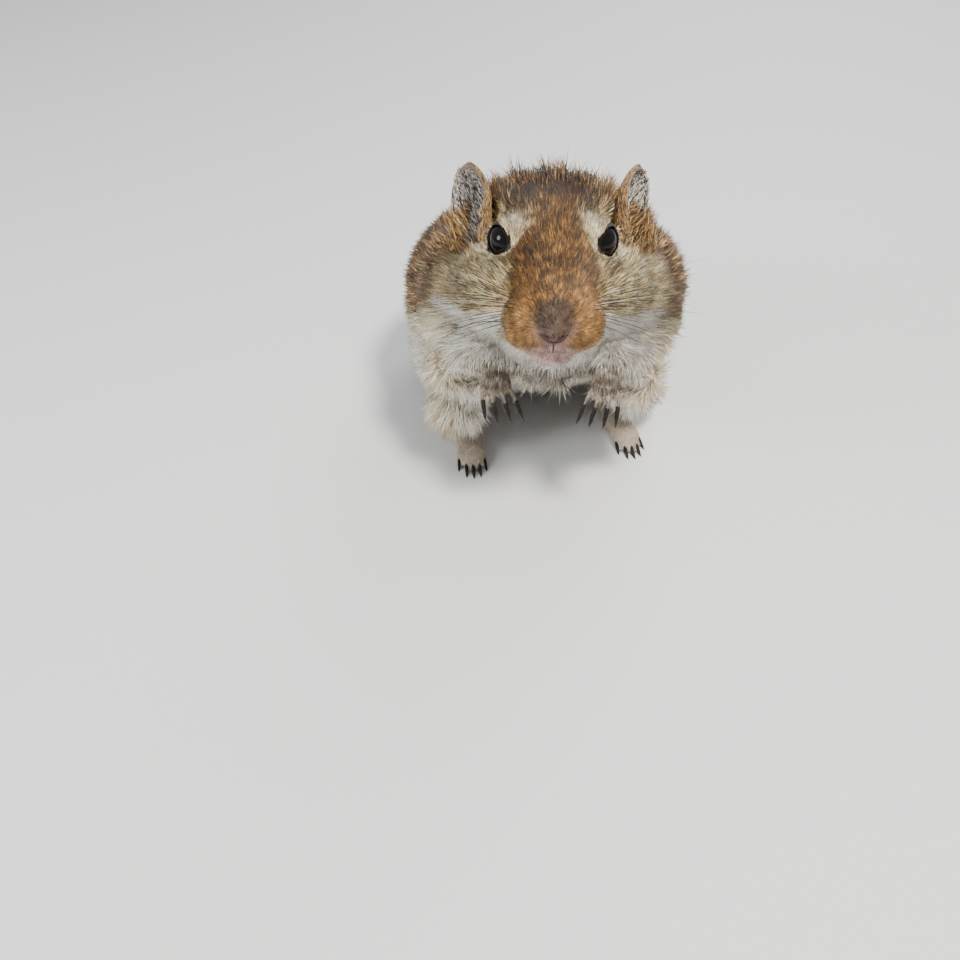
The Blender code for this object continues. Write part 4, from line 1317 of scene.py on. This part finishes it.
def whisker_specs(dark):
    """Root, heading, droop, length and radius of each whisker on both pads, and of the brow hairs."""
    draw = np.random.default_rng(5 if dark else 6)
    rows, columns, radius = (5, 3, 0.075) if dark else (1, 1, 0.045)
    specs = []
    for side in SIDES:
        for row in range(rows):
            for column in range(columns):
                back = -16.4 + 2.3 * column + 0.4 * row
                root = HEAD @ Vector((side * (6.5 + 0.8 * column), back, -4.0 - 1.0 * row))
                way = HEAD_TURN @ Vector((side * 1.0, -0.20 + 0.30 * column, 0.26 - 0.12 * row))
                way += Vector(draw.normal(0, 0.06, 3))
                droop = (0, 0.20, -0.22 - 0.08 * row)
                specs.append((root, way, droop, 13 + 2.5 * column + 4.0 * draw.random(), radius))
        if dark:
            brow = HEAD @ Vector((side * 6.8, -0.6, 5.2))
            specs.append((brow, HEAD_TURN @ Vector((side * 0.12, 0.85, 0.62)), (0, 0.25, -0.15), 11.5, 0.04))
    if dark:
        root = HEAD @ Vector((-7.6, -14.6, -8.6))
        specs.append((root, HEAD_TURN @ Vector((-1.0, -0.25, 0.30)), (0.25, -0.45, -1.2), 17, 0.09))
    return specs


def nostril_piece(material):
    """Dark tubes as painted shade in the nostril openings, a smile under the nose, and the groove down to the
    lip.
    """
    parts = []
    for side in SIDES:
        line = smooth_path([HEAD @ mirrored(knot, side) for knot in NOSTRIL_KNOTS], 4)
        parts.append(tube_mesh(line, radii_along(line, (0.272, 0.34, 0.306, 0.102)), flatness=0.8, count=10))
    groove = smooth_path([HEAD @ Vector(knot) for knot in GROOVE_KNOTS], 4)
    parts.append(tube_mesh(groove, [0.17] * len(groove), count=8))
    finish_piece(mesh_object("nostrils", *joined(parts)), material, "paw")


# Camera, light and floor


def add_camera():
    camera = add_object("camera", bpy.data.cameras.new("camera"))
    ahead = CAMERA_AHEAD.normalized()
    right = CAMERA_RIGHT.normalized()
    turn = Matrix((right, right.cross(ahead), -ahead)).transposed().to_4x4()
    turn.translation = (CAMERA_PLACE + SHIFT) * MM
    camera.matrix_world = turn
    camera.data.sensor_width = SENSOR
    camera.data.lens = SENSOR * FOCAL_PIXELS / PHOTO_PIXELS
    camera.data.clip_start = 0.005
    bpy.context.scene.camera = camera


def add_area_light(name, place, target, size, energy, colour):
    light = bpy.data.lights.new(name, "AREA")
    light.shape = "DISK"
    light.size = size
    light.energy = energy
    light.color = colour
    obj = add_object(name, light)
    obj.location = place
    obj.rotation_euler = (Vector(target) - Vector(place)).to_track_quat("-Z", "Y").to_euler()


def add_stage():
    bm = bmesh.new()
    bmesh.ops.create_grid(bm, x_segments=1, y_segments=1, size=FLOOR_HALF)
    mesh = bpy.data.meshes.new("floor")
    bm.to_mesh(mesh)
    bm.free()
    floor = add_object("floor", mesh)
    mesh.materials.append(new_material("floor", (0.72, 0.72, 0.71), 0.7)[0])
    world = bpy.data.worlds.new("studio")
    world.use_nodes = True
    background = world.node_tree.nodes["Background"]
    background.inputs["Color"].default_value = (0.93, 0.95, 1.0, 1)
    background.inputs["Strength"].default_value = 0.55
    bpy.context.scene.world = world
    for light in LIGHTS:
        add_area_light(*light)


# How the kinds of hair grow, with lengths and widths in millimetres and lifts in radians

Kind = namedtuple("Kind", "name slot pieces seed steps density length width lift darkness clump")
KINDS = (
    Kind("face_fur", "coat_face", 3, 100, 2, face_density, head_length, face_width, head_lift, 0.6, 0.35),
    Kind("body_fur", "coat_brown", 4, 200, 3, body_density, body_length, 0.20, body_lift, 0.6, 0.28),
    Kind("cheek_streaks", "coat_face", 1, 280, 3, streak_density, 3.6, 0.13, 0.24, 9.0, 0),
    Kind("guard_hairs", "coat_brown", 1, 290, 3, guard_density, guard_length, 0.13, guard_lift, 2.5, 0.3),
    Kind("paw_fur", "paw", 1, 300, 2, paw_density, paw_length, 0.11, 0.26, 0.7, 0),
    Kind("tail_fur", "tail_brush", 1, 310, 3, tail_density, tail_length, 0.18, tail_lift, 0.6, 0),
)

# Build

skin = make_skin()
unwrap_skin(skin)
paint_skin(skin)
bare = coat_material("skin", 0.72, 0.5, 1500, 4, 0.6, 1.05, relief=0.0002)
finish_piece(skin, bare, "coat_brown", *FLESH_NODES, "forepaw_left", "forepaw_right", "tail_tip")

fur = coat_material("fur", 0.58, 0.35, 2600, 2, 0.78, 1.22)
for kind in KINDS:
    grow_coat(skin, fur, kind)

claw = two_tone("claw", (0.005, 0.004, 0.004), (0.018, 0.012, 0.010), 1800, 0.45, specular=0.2)
lid = two_tone("lid", (0.004, 0.003, 0.003), (0.014, 0.010, 0.008), 2500, 0.75, 0.0001, specular=0.12)
# Near-black red for the painted shade in the nostril openings and the groove
slit_shade = two_tone("nostril", (0.022, 0.005, 0.005), (0.050, 0.011, 0.010), 1500, 0.75)
ear_skin = two_tone("ear_skin", (0.20, 0.13, 0.095), (0.31, 0.21, 0.155), 700, 0.7, 0.0001)
dark_whisker = two_tone("whisker_dark", (0.010, 0.007, 0.005), (0.026, 0.018, 0.013), 900, 0.6)
light_whisker = two_tone("whisker_light", (0.50, 0.46, 0.40), (0.62, 0.58, 0.52), 900, 0.4)
eye_tones = (0.002, 0.002, 0.003), (0.008, 0.005, 0.004)
eye_gloss = two_tone("eye_gloss", *eye_tones, 900, 0.03, specular=0.2, detail=2, ends=(0, 1))
for side in SIDES:
    name = SIDE_NAMES[side]
    eye_piece(side, eye_gloss)
    lid_piece(side, lid)
    ear_piece(side, ear_skin)
    ear_hair(side, fur, 400 + side)
    claw_piece(f"forepaw_{name}_claws", forepaw_digits(side), claw)
    claw_piece(f"hind_foot_{name}_claws", hind_foot_digits(side), claw)
nostril_piece(slit_shade)
whisker_piece("whiskers_dark", whisker_specs(True), dark_whisker)
whisker_piece("whiskers_light", whisker_specs(False), light_whisker)

add_camera()
add_stage()
